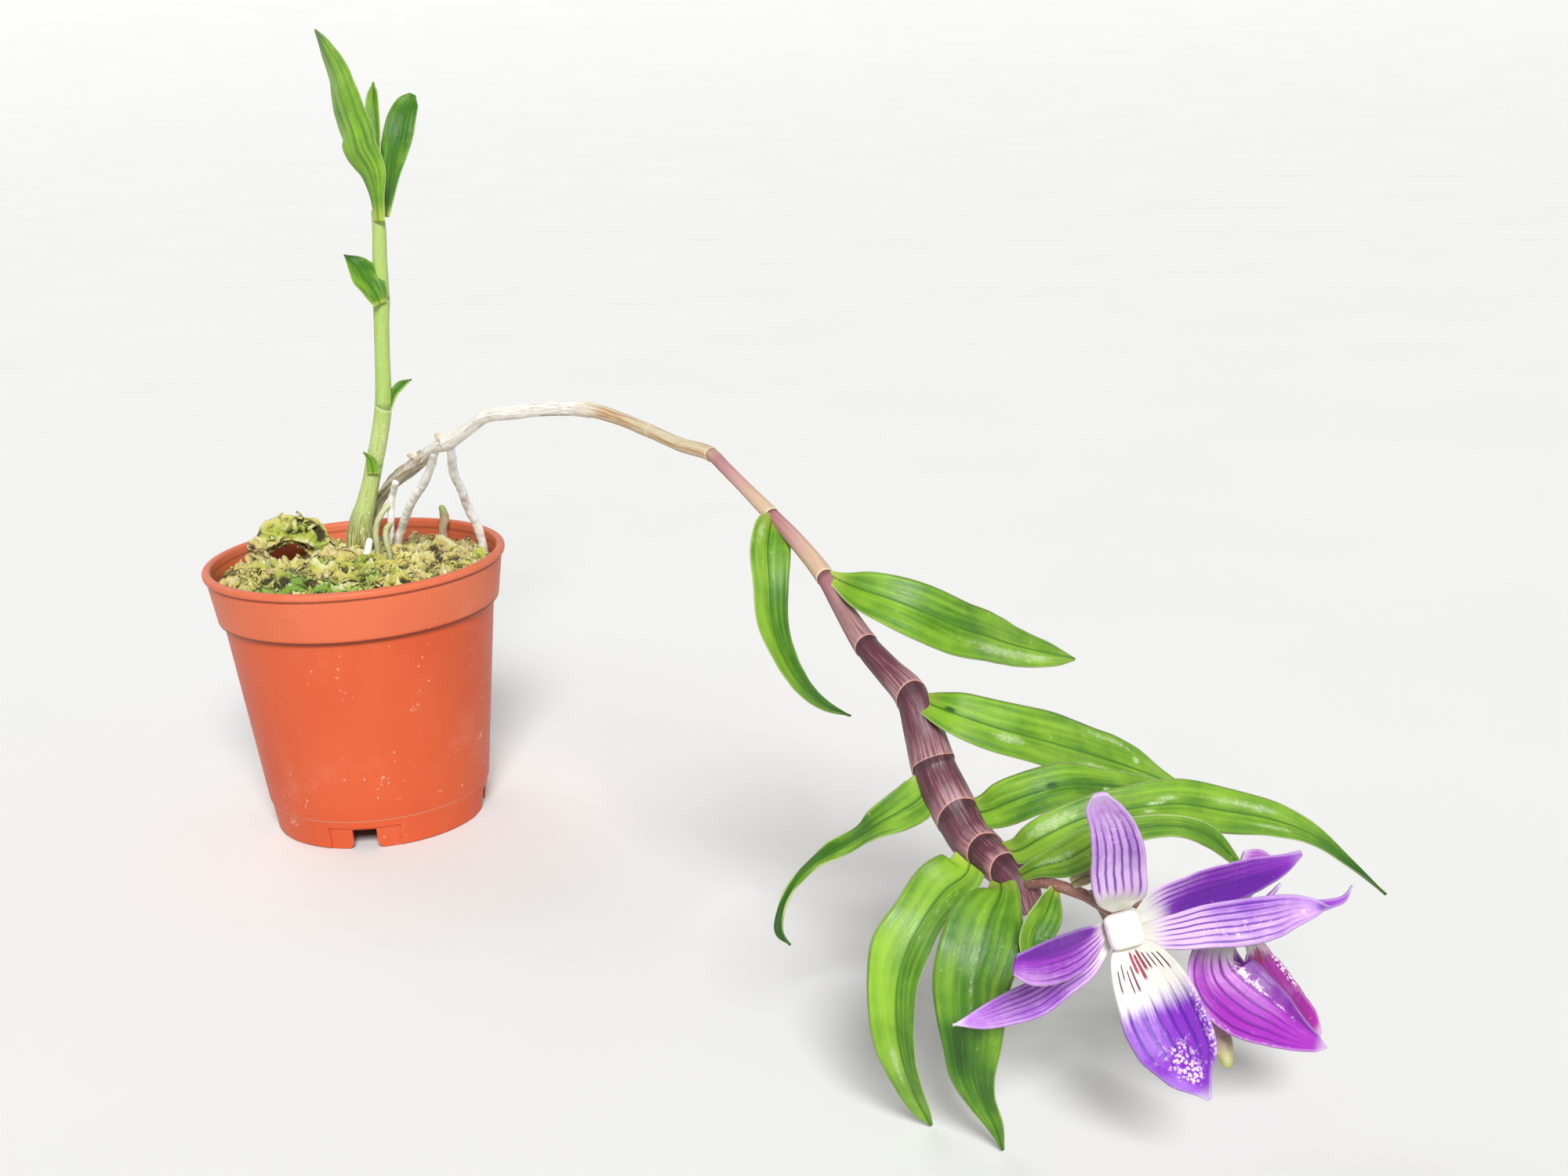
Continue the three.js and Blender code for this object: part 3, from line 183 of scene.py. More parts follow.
OLD_LEAVES = {
    "old_leaf_1": {
        "points": [
            [84.5, -98, 82, 1.5], [84, -100.5, 80.5, 6], [83.5, -103, 77.5, 7], [83.5, -105.5, 73, 6],
            [83.5, -107, 67.5, 5.5], [85, -106.5, 61.5, 4], [87.5, -105, 56.5, 3], [91, -102, 52, 2],
            [95, -99, 49, 0],
        ],
        "face": [[0.5, -0.85, 0.2], [0.3, -0.75, 0.5]], "wave": 0.4, "waves": 2,
        "tone": [[0.25, 0.5, 0.25, 0.5, 0.25], [0.55, -0.6, 0.3, 0.5, -0.7], [0.9, 0, 0.15, 1, -0.5]],
        "shine": [[0.1, 0.55, 0.06, 0.2, 0.7], [0.2, 0.3, 0.08, 0.12, 0.4]],
    },
    "old_leaf_2": {
        "points": [
            [92.5, -108.5, 75, 1.5], [94.5, -109.5, 74, 3.5], [97.5, -111, 73, 6.5],
            [102, -112.5, 71.5, 8.5], [106.5, -113, 69.5, 9.5], [111.5, -112, 66.5, 9.5],
            [116, -109.5, 64, 8.5], [121, -106, 61, 6.5], [126.5, -103, 58.5, 4],
            [130.5, -100, 56.5, 0.5],
        ],
        "face": [[0.1, -0.75, 0.65], [0.1, -0.75, 0.65]], "lean": 0.15, "wave": 0.3, "waves": 2,
        "tone": [[0.4, -0.5, 0.5, 0.5, -0.25], [0.85, 0.5, 0.2, 0.6, 0.5], [0.95, 0, 0.05, 1, 0.4]],
        "shine": [[0.6, 0.5, 0.12, 0.25, 0.7], [0.8, 0.5, 0.1, 0.3, 0.7]],
    },
    "old_leaf_3": {
        "points": [
            [104, -123, 59.5, 2], [106, -125, 59, 4.5], [109.5, -127, 58, 7], [114.5, -127.5, 56, 8.5],
            [119.5, -127, 54, 9], [125.5, -124.5, 51, 9.5], [132, -121.5, 47.5, 8.5],
            [137.5, -119.5, 44.5, 6], [142, -117, 41.5, 3], [146, -115.5, 39.5, 0],
        ],
        "face": [[0.1, -0.7, 0.7], [0.1, -0.7, 0.7]], "fold": 0.18, "wave": 0.3,
        "tone": [[0.9, 0, 0.1, 1, 0.3], [0.1, 0.3, 0.2, 0.6, 0.2], [0.12, -0.08, 0.012, 0.1, -2.6]],
        "shine": [
            [0.3, 0.3, 0.05, 0.2, 0.9], [0.6, 0.55, 0.07, 0.2, 0.9], [0.65, -0.75, 0.12, 0.12, 0.6],
            [0.76, -0.42, 0.01, 0.1, 2], [0.716, 0.42, 0.01, 0.1, 2],
        ],
    },
    "old_leaf_4": {
        "points": [
            [106, -127, 49, 4], [104, -128, 46, 6.5], [101, -128, 44, 6], [97.5, -127.5, 42, 4.5],
            [94.5, -126, 39.5, 3], [91, -124.5, 37, 3], [88, -124, 35, 2], [85, -123.5, 32, 1.5],
            [82.5, -124, 27.5, 1.5], [82, -125, 24.5, 1.5], [83.5, -125.5, 22.5, 0],
        ],
        "face": [[-0.3, -0.85, 0.45], [-0.5, -0.8, 0.2]], "wave": 0.7, "waves": 4,
        "tone": [[0.2, 0.5, 0.2, 0.5, -0.2], [0.6, 0.4, 0.3, 0.6, -0.7], [0.97, 0, 0.15, 1.5, -1.2]],
        "shine": [[0.2, -0.2, 0.1, 0.3, 0.2]],
    },
    "old_leaf_5": {
        "points": [
            [109.5, -130.5, 44, 3], [113, -131.5, 44.5, 5.5], [116, -132.5, 46, 7], [120, -133, 47.5, 7],
            [124.5, -132, 48, 6.5], [130.5, -129.5, 46.5, 5.5], [137, -126.5, 44.5, 4],
            [144, -123, 42.5, 0],
        ],
        "face": [[0.1, -0.75, 0.65], [0.1, -0.7, 0.7]], "fold": 0.15, "wave": 0.3, "waves": 2.5,
        "phase": 1,
        "tone": [
            [0.1, 0.3, 0.15, 0.7, 0.3], [0.6, 0.4, 0.4, 0.8, -0.5], [0.5, -0.7, 0.4, 0.4, 0.2],
            [0.367, -0.08, 0.014, 0.12, -2.6],
        ],
        "shine": [[0.596, 0.25, 0.013, 0.12, 2]],
    },
    "old_leaf_6": {
        "points": [
            [113, -135.5, 40, 2], [116.5, -138.5, 41, 4], [120, -141, 44, 5.5], [126, -141, 46.5, 6],
            [132.5, -140, 47, 6.5], [139.5, -138, 46.5, 7], [146, -136.5, 44.5, 7],
            [153.5, -135, 42, 5.5], [160.5, -133, 38, 3], [165.5, -132.5, 33.5, 1.5], [171, -132, 28, 0],
        ],
        "face": [[0, -0.8, 0.6], [0.3, -0.75, 0.6]], "fold": 0.2, "wave": 0.4,
        "tone": [[0.1, 0, 0.15, 1, 0.25], [0.8, 0.7, 0.12, 0.4, -0.3], [0.98, 0, 0.13, 1.5, -1.4]],
        "shine": [
            [0.17, -0.4, 0.06, 0.35, 0.9], [0.6, -0.4, 0.1, 0.2, 0.7], [0.66, 0.5, 0.07, 0.1, 0.8],
            [0.394, -0.08, 0.02, 0.08, 1.3], [0.376, 0.25, 0.014, 0.08, 1.3],
            [0.422, -0.25, 0.02, 0.08, 1.3],
        ],
    },
    "old_leaf_7": {
        "points": [
            [116, -140, 37.5, 1.5], [119, -144.5, 41, 3], [122.5, -147, 43, 5], [127, -148.5, 46, 5],
            [132.5, -148.5, 47.5, 3.5], [138, -147.5, 47, 3], [142.5, -146, 44.5, 3],
            [146, -145, 40.5, 1.5], [148, -145, 38, 0],
        ],
        "face": [[-0.1, -0.85, 0.5], [0.2, -0.85, 0.4]], "fold": 0.2, "wave": 0.3, "waves": 2,
        "tone": [[0.15, 0, 0.2, 0.8, 0.3], [0.7, 0, 0.3, 1, -0.2]],
        "shine": [[0.22, -0.2, 0.1, 0.35, 0.6]],
    },
    "old_leaf_8": {
        "points": [
            [110.5, -134, 40, 3], [109.5, -137, 37.5, 6.5], [106, -139.5, 36, 8],
            [102.5, -142.5, 33, 7.5], [100, -144.5, 29.5, 8.5], [98.5, -146, 25.5, 7.5],
            [98, -147, 20.5, 6.5], [98.5, -146.5, 14.5, 5.5], [100, -144.5, 7.5, 4],
            [101.5, -142.5, 3, 2.5], [102.5, -142, 0.5, 0.5],
        ],
        "face": [[-0.2, -0.8, 0.5], [-0.3, -0.9, 0.1]], "lean": 0.2, "fold": 0.25, "wave": 0.4,
        "phase": 0.6,
        "tone": [[0.5, 0.5, 0.5, 0.5, 0.35], [0.5, -0.6, 0.4, 0.5, -0.4], [0.04, 0, 0.08, 1, 0.5]],
        "shine": [[0.72, 0.35, 0.1, 0.2, 0.6], [0.25, -0.4, 0.12, 0.15, 0.3]],
    },
    "old_leaf_9": {
        "points": [
            [114, -139.5, 37, 3], [113.5, -144, 37, 5.5], [111.5, -147.5, 35, 10], [110, -150, 32, 11.5],
            [108.5, -152, 28.5, 11], [108, -153, 24, 10], [108, -153, 19.5, 8.5], [108, -152, 14, 6.5],
            [109, -151, 9.5, 4.5], [111, -150.5, 4.5, 2.5], [112, -150, 0.5, 0.5],
        ],
        "face": [[-0.15, -0.85, 0.4], [-0.25, -0.9, 0.1]], "fold": 0.2, "wave": 0.4, "waves": 2.5,
        "phase": 2,
        "tone": [
            [0.5, 0, 0.5, 1.2, -0.42], [0.8, -0.6, 0.2, 0.5, -0.4], [0.03, 0, 0.06, 1, 0.6],
            [0.62, 0.5, 0.12, 0.5, -0.7],
        ],
        "shine": [[0.4, 0.02, 0.2, 0.07, 0.5], [0.8, 0.2, 0.1, 0.1, 0.3]],
    },
    "old_leaf_10": {
        "points": [
            [120.5, -147, 38.5, 2], [119, -149.5, 36.5, 5], [117, -151.5, 34, 5.5],
            [117, -152.5, 31, 4.5], [117.5, -153, 28, 2],
        ],
        "face": [[0.4, -0.9, 0.2], [0.4, -0.9, 0.2]], "fold": 0.4,
        "tone": [[0.5, 0.5, 0.5, 0.5, 0.2], [0.5, -0.6, 0.5, 0.5, -0.6]],
    },
}

# Roots and stems, which are a little narrower at their last point
ROOTS = {
    "root_right": {
        "points": [
            [23.5, -15.5, 79.5], [23.5, -14, 77.5], [23, -10.5, 75], [22.5, -6.5, 71.5], [23, -2.5, 67.5],
            [23.5, 1.5, 62.5], [24.5, 4.5, 58], [25, 7, 52], [24, 7.5, 47],
        ],
        "radius": 0.9,
    },
    "root_middle": {
        "points": [
            [20, -11.5, 77.5], [18.5, -7.5, 74], [16, -3, 69.5], [13, 1, 65.5], [10.5, 5, 61.5],
            [8.5, 8.5, 57.5], [6.5, 11, 53], [6, 11.5, 48],
        ],
        "radius": 0.85,
    },
    "root_left": {
        "points": [
            [10, 0.5, 69.5], [8.5, 3.5, 66.5], [7.5, 5, 63.5], [7, 6, 60], [6.5, 7, 57], [5.5, 8, 54],
            [5, 8.5, 48],
        ],
        "radius": 0.7,
    },
    "root_loop_outer": {
        "points": [[7.5, 5, 64], [6, 4, 62.5], [4.5, 3.5, 60], [4, 3.5, 57.5], [4, 4, 55], [3.5, 4.5, 50]],
        "radius": 0.6, "finish": "green_root",
    },
    "root_loop_inner": {
        "points": [[7, 6, 59.5], [6, 4.5, 58.5], [6, 3.5, 56], [6.5, 3.5, 53], [6.5, 3.5, 50]],
        "radius": 0.55, "finish": "green_root",
    },
    "root_short": {
        "points": [[3, 2, 57.5], [2.5, 2, 55.5], [2, 1.5, 53.5], [2, 1.5, 50]],
        "radius": 0.7,
    },
    "dead_stub": {
        "points": [[15, 21, 46], [15, 21, 51], [15, 21, 54], [15.5, 21, 56.5], [15, 21, 59]],
        "radius": 0.9, "finish": "stub",
    },
}
STALK_STEMS = [
    {
        "points": [
            [116.5, -140.5, 36.5], [119, -144, 38.5], [121.5, -147, 39], [125, -147.5, 37.5],
            [128.5, -148, 35], [129.5, -151, 35],
        ],
        "radius": 0.85,
    },
    {
        "points": [
            [125, -147.5, 37.5], [127.5, -145.5, 37], [132, -142.5, 34], [138, -140.5, 30.5],
            [144, -143, 29.5],
        ],
        "radius": 0.7,
    },
    {
        "points": [[125, -147.5, 37.5], [127, -145, 35], [130, -142, 29], [136.5, -141, 22]],
        "radius": 0.6,
    },
]
STALK_BRACT = {
    "points": [[123, -147.5, 39.5, 1.5], [125, -147.5, 40.5, 2.5], [127.5, -147.5, 40, 0]],
    "face": [[0.1, -0.8, 0.6], [0.1, -0.8, 0.6]], "fold": 0.3,
}
BUD = [
    [136, -141, 22, 0.8], [139, -143.5, 18.5, 1.6], [142, -146, 16.5, 2], [143.5, -148, 14, 1.7],
    [144, -150.5, 11.5, 0.6],
]

# A flower's column: its radius and distance along its axis, its length, how round its corners are, the power
# that makes it square, and its width against the profile's
COLUMN = {
    "profile": [
        [0.9, 0], [1.3, 1.2], [2.1, 2.6], [2.8, 4.2], [2.9, 5.6], [2.4, 6.4], [1.4, 6.8], [0.3, 6.85],
    ],
    "length": 6.8, "round": 0.75, "square": 5, "width": 0.94,
}
# The flowers: each petal, sepal and lip is given like a leaf, with how deep and how pink its violet is, how
# far out its foot stays white, and how pale its tip is. Their darkening patches are partly their own colour
# and partly painted shade, such as a petal's shaded lower half, and their highlight patches paint glints.
FLOWERS = {
    "flower_1": {
        "column": {"base": [129.5, -151, 35], "towards": [128.5, -158, 36.5]},
        "dorsal_sepal": {
            "points": [
                [129, -152, 37.2, 2.5], [128.5, -152.8, 39, 5.5], [128.5, -154.5, 41.3, 7.2],
                [128, -156.5, 45, 7.5], [127.5, -159.5, 50, 7], [126.5, -161.5, 54, 6],
                [125, -163.5, 57.5, 4.5], [124.5, -165, 59.5, 2],
            ],
            "face": [[0, -0.7, -0.7], [0, -0.85, -0.5]],
            "tone": [
                [0.55, 0.7, 0.25, 0.3, -0.35], [0.45, -0.8, 0.3, 0.2, -0.3], [0.9, 0, 0.15, 1, -0.1],
            ],
            "shine": [[0.75, 0, 0.2, 0.6, 0.3]],
            "finish": {"deep": 0.16, "pink": 0.15, "tip": 0.3},
        },
        "petal_right": {
            "points": [
                [130.5, -152.5, 35.8, 1.5], [132, -152.2, 36.6, 3.5], [135, -152, 38.2, 6.5],
                [139.5, -150.5, 39, 7.8], [144, -149.5, 39.5, 7.5], [148.5, -149, 40.5, 6],
                [152, -149, 41.5, 3.5], [154.5, -148.5, 42.5, 1],
            ],
            "face": [[-0.1, -0.9, -0.3], [-0.1, -0.9, -0.3]],
            "tone": [[0.55, 0.5, 0.35, 0.6, -1.5], [0.6, -0.9, 0.4, 0.3, 0.2]],
            "shine": [[0.8, -0.5, 0.2, 0.5, 0.12]],
            "finish": {"deep": 0.75, "pink": 0.2, "tip": 0.2},
        },
        "sepal_right": {
            "points": [
                [130, -153, 34.8, 1.5], [132, -154, 34.3, 3.5], [136, -155.5, 35.2, 5],
                [140, -156, 36, 6], [144.5, -156.5, 36.5, 6.5], [148.5, -156.5, 37, 6],
                [152, -155, 37, 4.5], [155, -154.5, 37, 2.5], [157, -154.5, 37, 0],
            ],
            "face": [[-0.2, -0.95, 0.2], [-0.2, -0.95, 0.2]],
            "tone": [[0.55, -0.8, 0.3, 0.25, -0.35], [0.8, 0.2, 0.2, 0.6, 0.2], [1, 0, 0.06, 1, -1.5]],
            "shine": [[0.5, 0.3, 0.3, 0.4, 0.35], [0.85, 0, 0.06, 1, 0.3]],
            "finish": {"deep": 0.3, "pink": 0.1, "tip": 0.1},
        },
        "petal_left": {
            "points": [
                [128.5, -152.5, 35.5, 1.5], [126.5, -154, 35.5, 2], [124.5, -156, 35, 4],
                [121.5, -160, 35.3, 6], [118, -164, 36.2, 6.5], [115, -167, 37.2, 5.5],
                [112.5, -169, 38.3, 3],
            ],
            "face": [[0.5, -0.7, 0.3], [0.7, -0.7, 0]],
            "tone": [[0.65, 0.7, 0.45, 0.5, -1.7], [0.8, -0.8, 0.25, 0.5, 0.7]],
            "finish": {"deep": 0.65, "pink": 0.3, "tip": 0},
        },
        "sepal_left": {
            "points": [
                [128.5, -152.5, 34.5, 1], [126, -154, 32.5, 2], [123.5, -155, 30.5, 3.5],
                [120, -156, 29, 4.5], [116.5, -156.5, 27, 5], [113, -157, 26, 4.5], [109, -157.5, 25, 3],
                [105, -158, 24.5, 0],
            ],
            "face": [[0.1, -0.9, 0.4], [0, -0.9, 0.4]],
            "tone": [[0.35, -0.5, 0.2, 0.5, -0.5], [0.6, 0.2, 0.3, 0.5, 0.15]],
            "finish": {"deep": 0.5, "pink": 0.25, "tip": 0.8},
        },
        "lip": {
            "points": [
                [129.5, -154, 34, 2], [130, -156, 32.5, 6.5], [131, -158, 30.5, 9],
                [132.3, -160.5, 28, 10.6], [133.3, -162.5, 25.5, 11.3], [134.8, -164.5, 22.5, 10.5],
                [136, -165.5, 19.5, 7], [137.2, -166.5, 17.5, 3], [138, -167, 16, 0.5],
            ],
            "face": [[-0.2, -0.75, 0.6], [-0.4, -0.85, 0.3]], "cup": 0.35,
            "tone": [[0.6, -0.6, 0.2, 0.4, -0.25]],
            "shine": [
                [0.74, 0.1, 0.13, 0.5, 0.75], [0.84, -0.1, 0.06, 0.4, 0.8], [0.6, -0.92, 0.25, 0.12, 0.8],
            ],
            "finish": {"deep": 0.8, "pink": 0.08, "white_to": 0.33},
        },
    },
    "flower_2": {
        "column": {"base": [144, -143, 29.5], "towards": [150, -144, 30]},
        "dorsal_sepal": {
            "points": [
                [146.5, -142.5, 31, 1.5], [148.5, -141.5, 33.5, 3], [150.3, -141.5, 36, 4],
                [150.3, -142, 38, 4], [149.3, -142.5, 39.3, 3.5], [147.5, -143, 40, 2],
            ],
            "face": [[0.8, -0.4, -0.5], [0.4, -0.9, 0]],
            "finish": {"deep": 0.45, "pink": 0.5},
        },
        "petal_left": {
            "points": [
                [147, -143.5, 31, 1.5], [149, -144.5, 33, 3], [151, -145, 35, 3],
                [152.5, -145, 36.5, 0.5],
            ],
            "face": [[0.6, -0.5, -0.6], [0.6, -0.5, -0.6]],
            "shine": [[0.7, 0, 0.3, 1, 0.6]],
            "finish": {"deep": 0.4, "pink": 0.3},
        },
        "petal_right": {
            "points": [
                [147.5, -142, 29.5, 1.5], [150, -140.5, 29.5, 2.5], [153.5, -139.5, 29.5, 3],
                [157.5, -138.5, 29.5, 2.5], [161, -137.5, 29.5, 1.5], [163.5, -137, 30, 1],
                [165, -136, 31.5, 0],
            ],
            "face": [[0.1, -0.9, 0.4], [0, -0.9, 0.4]],
            "tone": [[0.5, 0.3, 0.5, 0.7, -0.5]],
            "finish": {"deep": 0.95, "pink": 0.25},
        },
        "sepal_left": {
            "points": [
                [145.5, -144.5, 29, 1.5], [142.8, -147.5, 27.5, 7], [142.8, -149.5, 25, 10.5],
                [145.7, -151, 22, 11], [149.6, -152, 19.5, 8.5], [153, -152, 17, 5.2],
                [156, -151.5, 15, 2.5], [157.5, -151, 14, 0.5],
            ],
            "face": [[0.3, -0.8, 0.5], [0.2, -0.85, 0.5]],
            "tone": [
                [0.45, -0.35, 0.3, 0.2, 0.4], [0.4, 0.5, 0.4, 0.3, -0.35], [0.55, -0.86, 0.4, 0.3, -2.2],
            ],
            "shine": [
                [0.28, -0.6, 0.18, 0.1, 1], [0.55, -0.52, 0.2, 0.05, 0.8], [0.5, 0.95, 0.4, 0.05, 0.6],
            ],
            "finish": {"deep": 0.75, "pink": 0.55},
        },
        "sepal_right": {
            "points": [
                [146, -142.5, 28.5, 1], [145.5, -142, 25.5, 3], [146, -142.5, 22, 5.5],
                [148, -143, 18, 6], [150.5, -144, 15, 4], [153, -144, 13, 2], [154.5, -144, 12, 0],
            ],
            "face": [[0.4, -0.8, 0.4], [0.3, -0.85, 0.4]],
            "tone": [[0.3, 0, 0.3, 1, -0.6]],
            "finish": {"deep": 0.8, "pink": 0.3},
        },
        "lip": {
            "points": [
                [148, -144, 28, 1.5], [149, -144.5, 26.5, 3.5], [149.5, -145.5, 24.5, 5.5],
                [151, -146.5, 21.5, 6.5], [153, -147.5, 18.5, 6.5], [155.5, -147.5, 16, 5],
                [157.5, -147.5, 14, 1.5],
            ],
            "face": [[0.3, -0.8, 0.5], [0.3, -0.8, 0.5]], "cup": 0.2,
            "tone": [[0.5, 0, 0.6, 1.5, -1.1]],
            "shine": [[0.35, -0.9, 0.25, 0.15, 0.9]],
            "finish": {"deep": 1.1, "pink": 1, "white_to": 0.02},
        },
    },
}

# Scuffs on the pot: their places in millimetres about its foot's middle, and their sizes
POT_SCUFFS = [
    [22.5, -7.3, 17.1, 1.6], [12.8, -21.6, 29.0, 1.4], [5.3, -22.7, 14.8, 1.7], [-11.2, -19.9, 10.1, 1.5],
    [-14.9, -16.2, 4.4, 1.8], [-0.8, -26.1, 37.3, 0.8], [14.8, -17.2, 9.6, 0.8], [18.9, -12.6, 9.2, 0.8],
]

# The photo's camera: its place about the pot's foot, and the ways in which its right and its top look
CAMERA = {
    "place": [85.74, -427.5, 163.74], "right": [0.9982, -0.0162, -0.0572], "up": [0.0595, 0.2723, 0.9604],
    "lens": 50.4, "sensor": 36,
}
# The floor in metres: its rings, how far out it is level, what the squared way on from there is divided by,
# and how far under the pot it lies
FLOOR = {"rings": [0.01, 1, 2, 3, 4, 5, 6, 7, 8, 10, 12, 14, 16], "level": 2, "rise": 24, "drop": 0.0001}

# How much darker a surface is than it shows, because the light makes up for it
DARKER = 0.72


def linear(code):
    """The linear values of a surface that shows in full light as a screen colour, such as 0xE96F47."""
    parts = np.array([code >> 16 & 255, code >> 8 & 255, code & 255]) / 255
    return tuple(DARKER * np.where(parts <= 0.04045, parts / 12.92, ((parts + 0.055) / 1.055) ** 2.4))


class PotSettings(bpy.types.PropertyGroup):
    """The pot's plastic"""

    colour: bpy.props.FloatVectorProperty(
        name="Colour", description="Colour of the plastic", subtype="COLOR", default=linear(0xE06237))
    facets: bpy.props.IntProperty(
        name="Facets", description="Sides of the round wall", default=192, min=24)


class MossSettings(bpy.types.PropertyGroup):
    """The moss that the plant stands in"""

    dry: bpy.props.FloatVectorProperty(
        name="Dry", description="Colour of the dry moss", subtype="COLOR", default=linear(0xDED270))
    green: bpy.props.FloatVectorProperty(
        name="Green", description="Colour of the moss that is still green", subtype="COLOR",
        default=linear(0x86AE3E))
    flakes: bpy.props.IntProperty(
        name="Flakes", description="Number of loose curled scraps on the bed", default=700, min=0)


class CaneSettings(bpy.types.PropertyGroup):
    """The canes, the stalk and the roots"""

    papery: bpy.props.FloatVectorProperty(
        name="Papery", description="Colour of the dry old sheaths", subtype="COLOR",
        default=(0.86, 0.82, 0.75))
    purple: bpy.props.FloatVectorProperty(
        name="Purple", description="Colour of the thick young sheaths", subtype="COLOR",
        default=linear(0x643648))
    green: bpy.props.FloatVectorProperty(
        name="Green", description="Colour of the young cane", subtype="COLOR", default=linear(0xC8D983))


class LeafSettings(bpy.types.PropertyGroup):
    """The leaves"""

    light: bpy.props.FloatVectorProperty(
        name="Light", description="Lightest green of the blade", subtype="COLOR", default=linear(0x98CA34))
    dark: bpy.props.FloatVectorProperty(
        name="Dark", description="Darkest green of the blade", subtype="COLOR", default=linear(0x3A7414))
    thickness: bpy.props.FloatProperty(
        name="Thickness", description="Thickness of the blade at its midrib", subtype="DISTANCE",
        unit="LENGTH", default=0.5 * MM)


class FlowerSettings(bpy.types.PropertyGroup):
    """The flowers and their bud"""

    lilac: bpy.props.FloatVectorProperty(
        name="Lilac", description="Colour of the pale parts of a petal", subtype="COLOR",
        default=linear(0xF0CCFF))
    violet: bpy.props.FloatVectorProperty(
        name="Violet", description="Colour of the deep parts of a petal", subtype="COLOR",
        default=linear(0x8830CC))
    thickness: bpy.props.FloatProperty(
        name="Thickness", description="Thickness of a petal at its middle", subtype="DISTANCE",
        unit="LENGTH", default=0.5 * MM)


class StageSettings(bpy.types.PropertyGroup):
    """The floor and the light"""

    floor: bpy.props.FloatVectorProperty(
        name="Floor", description="Colour of the floor", subtype="COLOR", default=linear(0xFFFFFE))
    light: bpy.props.FloatProperty(
        name="Light", description="Strength of the main light", default=4.2, min=0)
    sky: bpy.props.FloatProperty(
        name="Sky", description="Strength of the light from all around", default=0.26, min=0)


SETTINGS = {
    "orchid_pot": PotSettings,
    "orchid_moss": MossSettings,
    "orchid_cane": CaneSettings,
    "orchid_leaf": LeafSettings,
    "orchid_flower": FlowerSettings,
    "orchid_stage": StageSettings,
}


# Curves through points

def spline(points, at, power=0.5):
    """The smooth curve through the points, at places that count the points: 1.5 is halfway from point 1 to 2.
    Each stretch is a cubic whose slope at a point comes from the points beside it, with the gaps between the
    points weighed by their length to the given power."""
    points = np.asarray(points, float).reshape(len(points), -1)
    ends = 2 * points[[0, -1]] - points[[1, -2]]
    knots = np.concatenate([ends[:1], points, ends[1:]])
    gaps = np.linalg.norm(np.diff(knots, axis=0), axis=1) ** power
    at = np.asarray(at, float)
    i = np.clip(np.floor(at).astype(int), 0, len(points) - 2)
    w = (at - i)[..., None]
    p0, p1, p2, p3 = (knots[i + k] for k in range(4))
    g0, g1, g2 = (gaps[i + k][..., None] for k in range(3))
    leave = ((p1 - p0) / g0 - (p2 - p0) / (g0 + g1)) * g1 + p2 - p1
    reach = ((p3 - p2) / g2 - (p3 - p1) / (g1 + g2)) * g1 + p2 - p1
    bend = 3 * (p2 - p1) - 2 * leave - reach
    twist = leave + reach - 2 * (p2 - p1)
    return p1 + w * (leave + w * (bend + w * twist))


def walk(points):
    """Places along the curve through the points, and how far along the curve each is."""
    places = np.linspace(0, len(points) - 1, 60 * len(points))
    steps = np.linalg.norm(np.diff(spline(points, places), axis=0), axis=1)
    return places, np.append(0, np.cumsum(steps))


def heading(points, at):
    """The direction in which the curve runs at each place: the difference of two near points, made 1 long."""
    last = len(points) - 1
    ahead = spline(points, np.clip(at + 0.01, 0, last))
    behind = spline(points, np.clip(at - 0.01, 0, last))
    return unit(ahead - behind)


def unit(vectors):
    """The vectors, each made 1 long."""
    return vectors / np.linalg.norm(vectors, axis=-1, keepdims=True)


def upright(vectors, along):
    """What is left of the vectors across the direction along, made 1 long."""
    return unit(vectors - along * np.sum(vectors * along, axis=-1, keepdims=True))


def patches(spots, along, across):
    """The sum of soft patches: each is its strength times e to the minus squared distance from its place,
    with the distances along and across measured in its spreads."""
    total = np.zeros(np.broadcast(along, across).shape)
    for place, side, spread, width, strength in spots:
        total += strength * np.exp(-((along - place) / spread) ** 2 - ((across - side) / width) ** 2)
    return total


def mounds(spots, x, y):
    """The sum of round mounds given as x, y, height and spread: each is its height times e to the minus
    squared distance over twice its spread squared."""
    total = 0
    for place_x, place_y, height, spread in spots:
        total = total + height * np.exp(-((x - place_x) ** 2 + (y - place_y) ** 2) / (2 * spread ** 2))
    return total


def lattice(cells, seed):
    """A number from 0 to 1 for each whole-numbered cell, which looks random and is always the same."""
    mixed = cells.astype(np.int64) @ np.array([73856093, 19349663, 83492791]) + seed * 2654435761
    mixed = (mixed ^ (mixed >> 13)) * 1274126177 & 0x7FFFFFFF
    return ((mixed ^ (mixed >> 16)) & 0xFFFF) / 0xFFFF


def grain(places, seed):
    """Smooth noise from -1 to 1: the numbers at the eight corners of a place's cell, mixed by 3w² - 2w³."""
    cell = np.floor(places)
    w = places - cell
    w = w * w * (3 - 2 * w)
    total = 0
    for corner in np.ndindex(2, 2, 2):
        share = np.prod(np.where(corner, w, 1 - w), axis=-1)
        total = total + share * lattice(cell + corner, seed)
    return 2 * total - 1


def crumple(places, octaves, seed):
    """Ridged noise from 0 to 1: each octave is 1 less the size of the grain, squared, at twice the pitch and
    half the strength of the one before."""
    total = 0
    for octave in range(octaves):
        total = total + 0.5 ** octave * (1 - np.abs(grain(places * 2 ** octave, seed + octave))) ** 2
    return total / (2 - 0.5 ** (octaves - 1))


# Closed shells

def turned(radius, angle, height):
    """Points at the given distances from the upright axis, turned about it by the angles, at the heights."""
    return np.stack(np.broadcast_arrays(radius * np.cos(angle), radius * np.sin(angle), height), axis=-1)


def circle(sides):
    """The angles of a ring's points."""
    return np.linspace(0, 2 * np.pi, sides, endpoint=False)


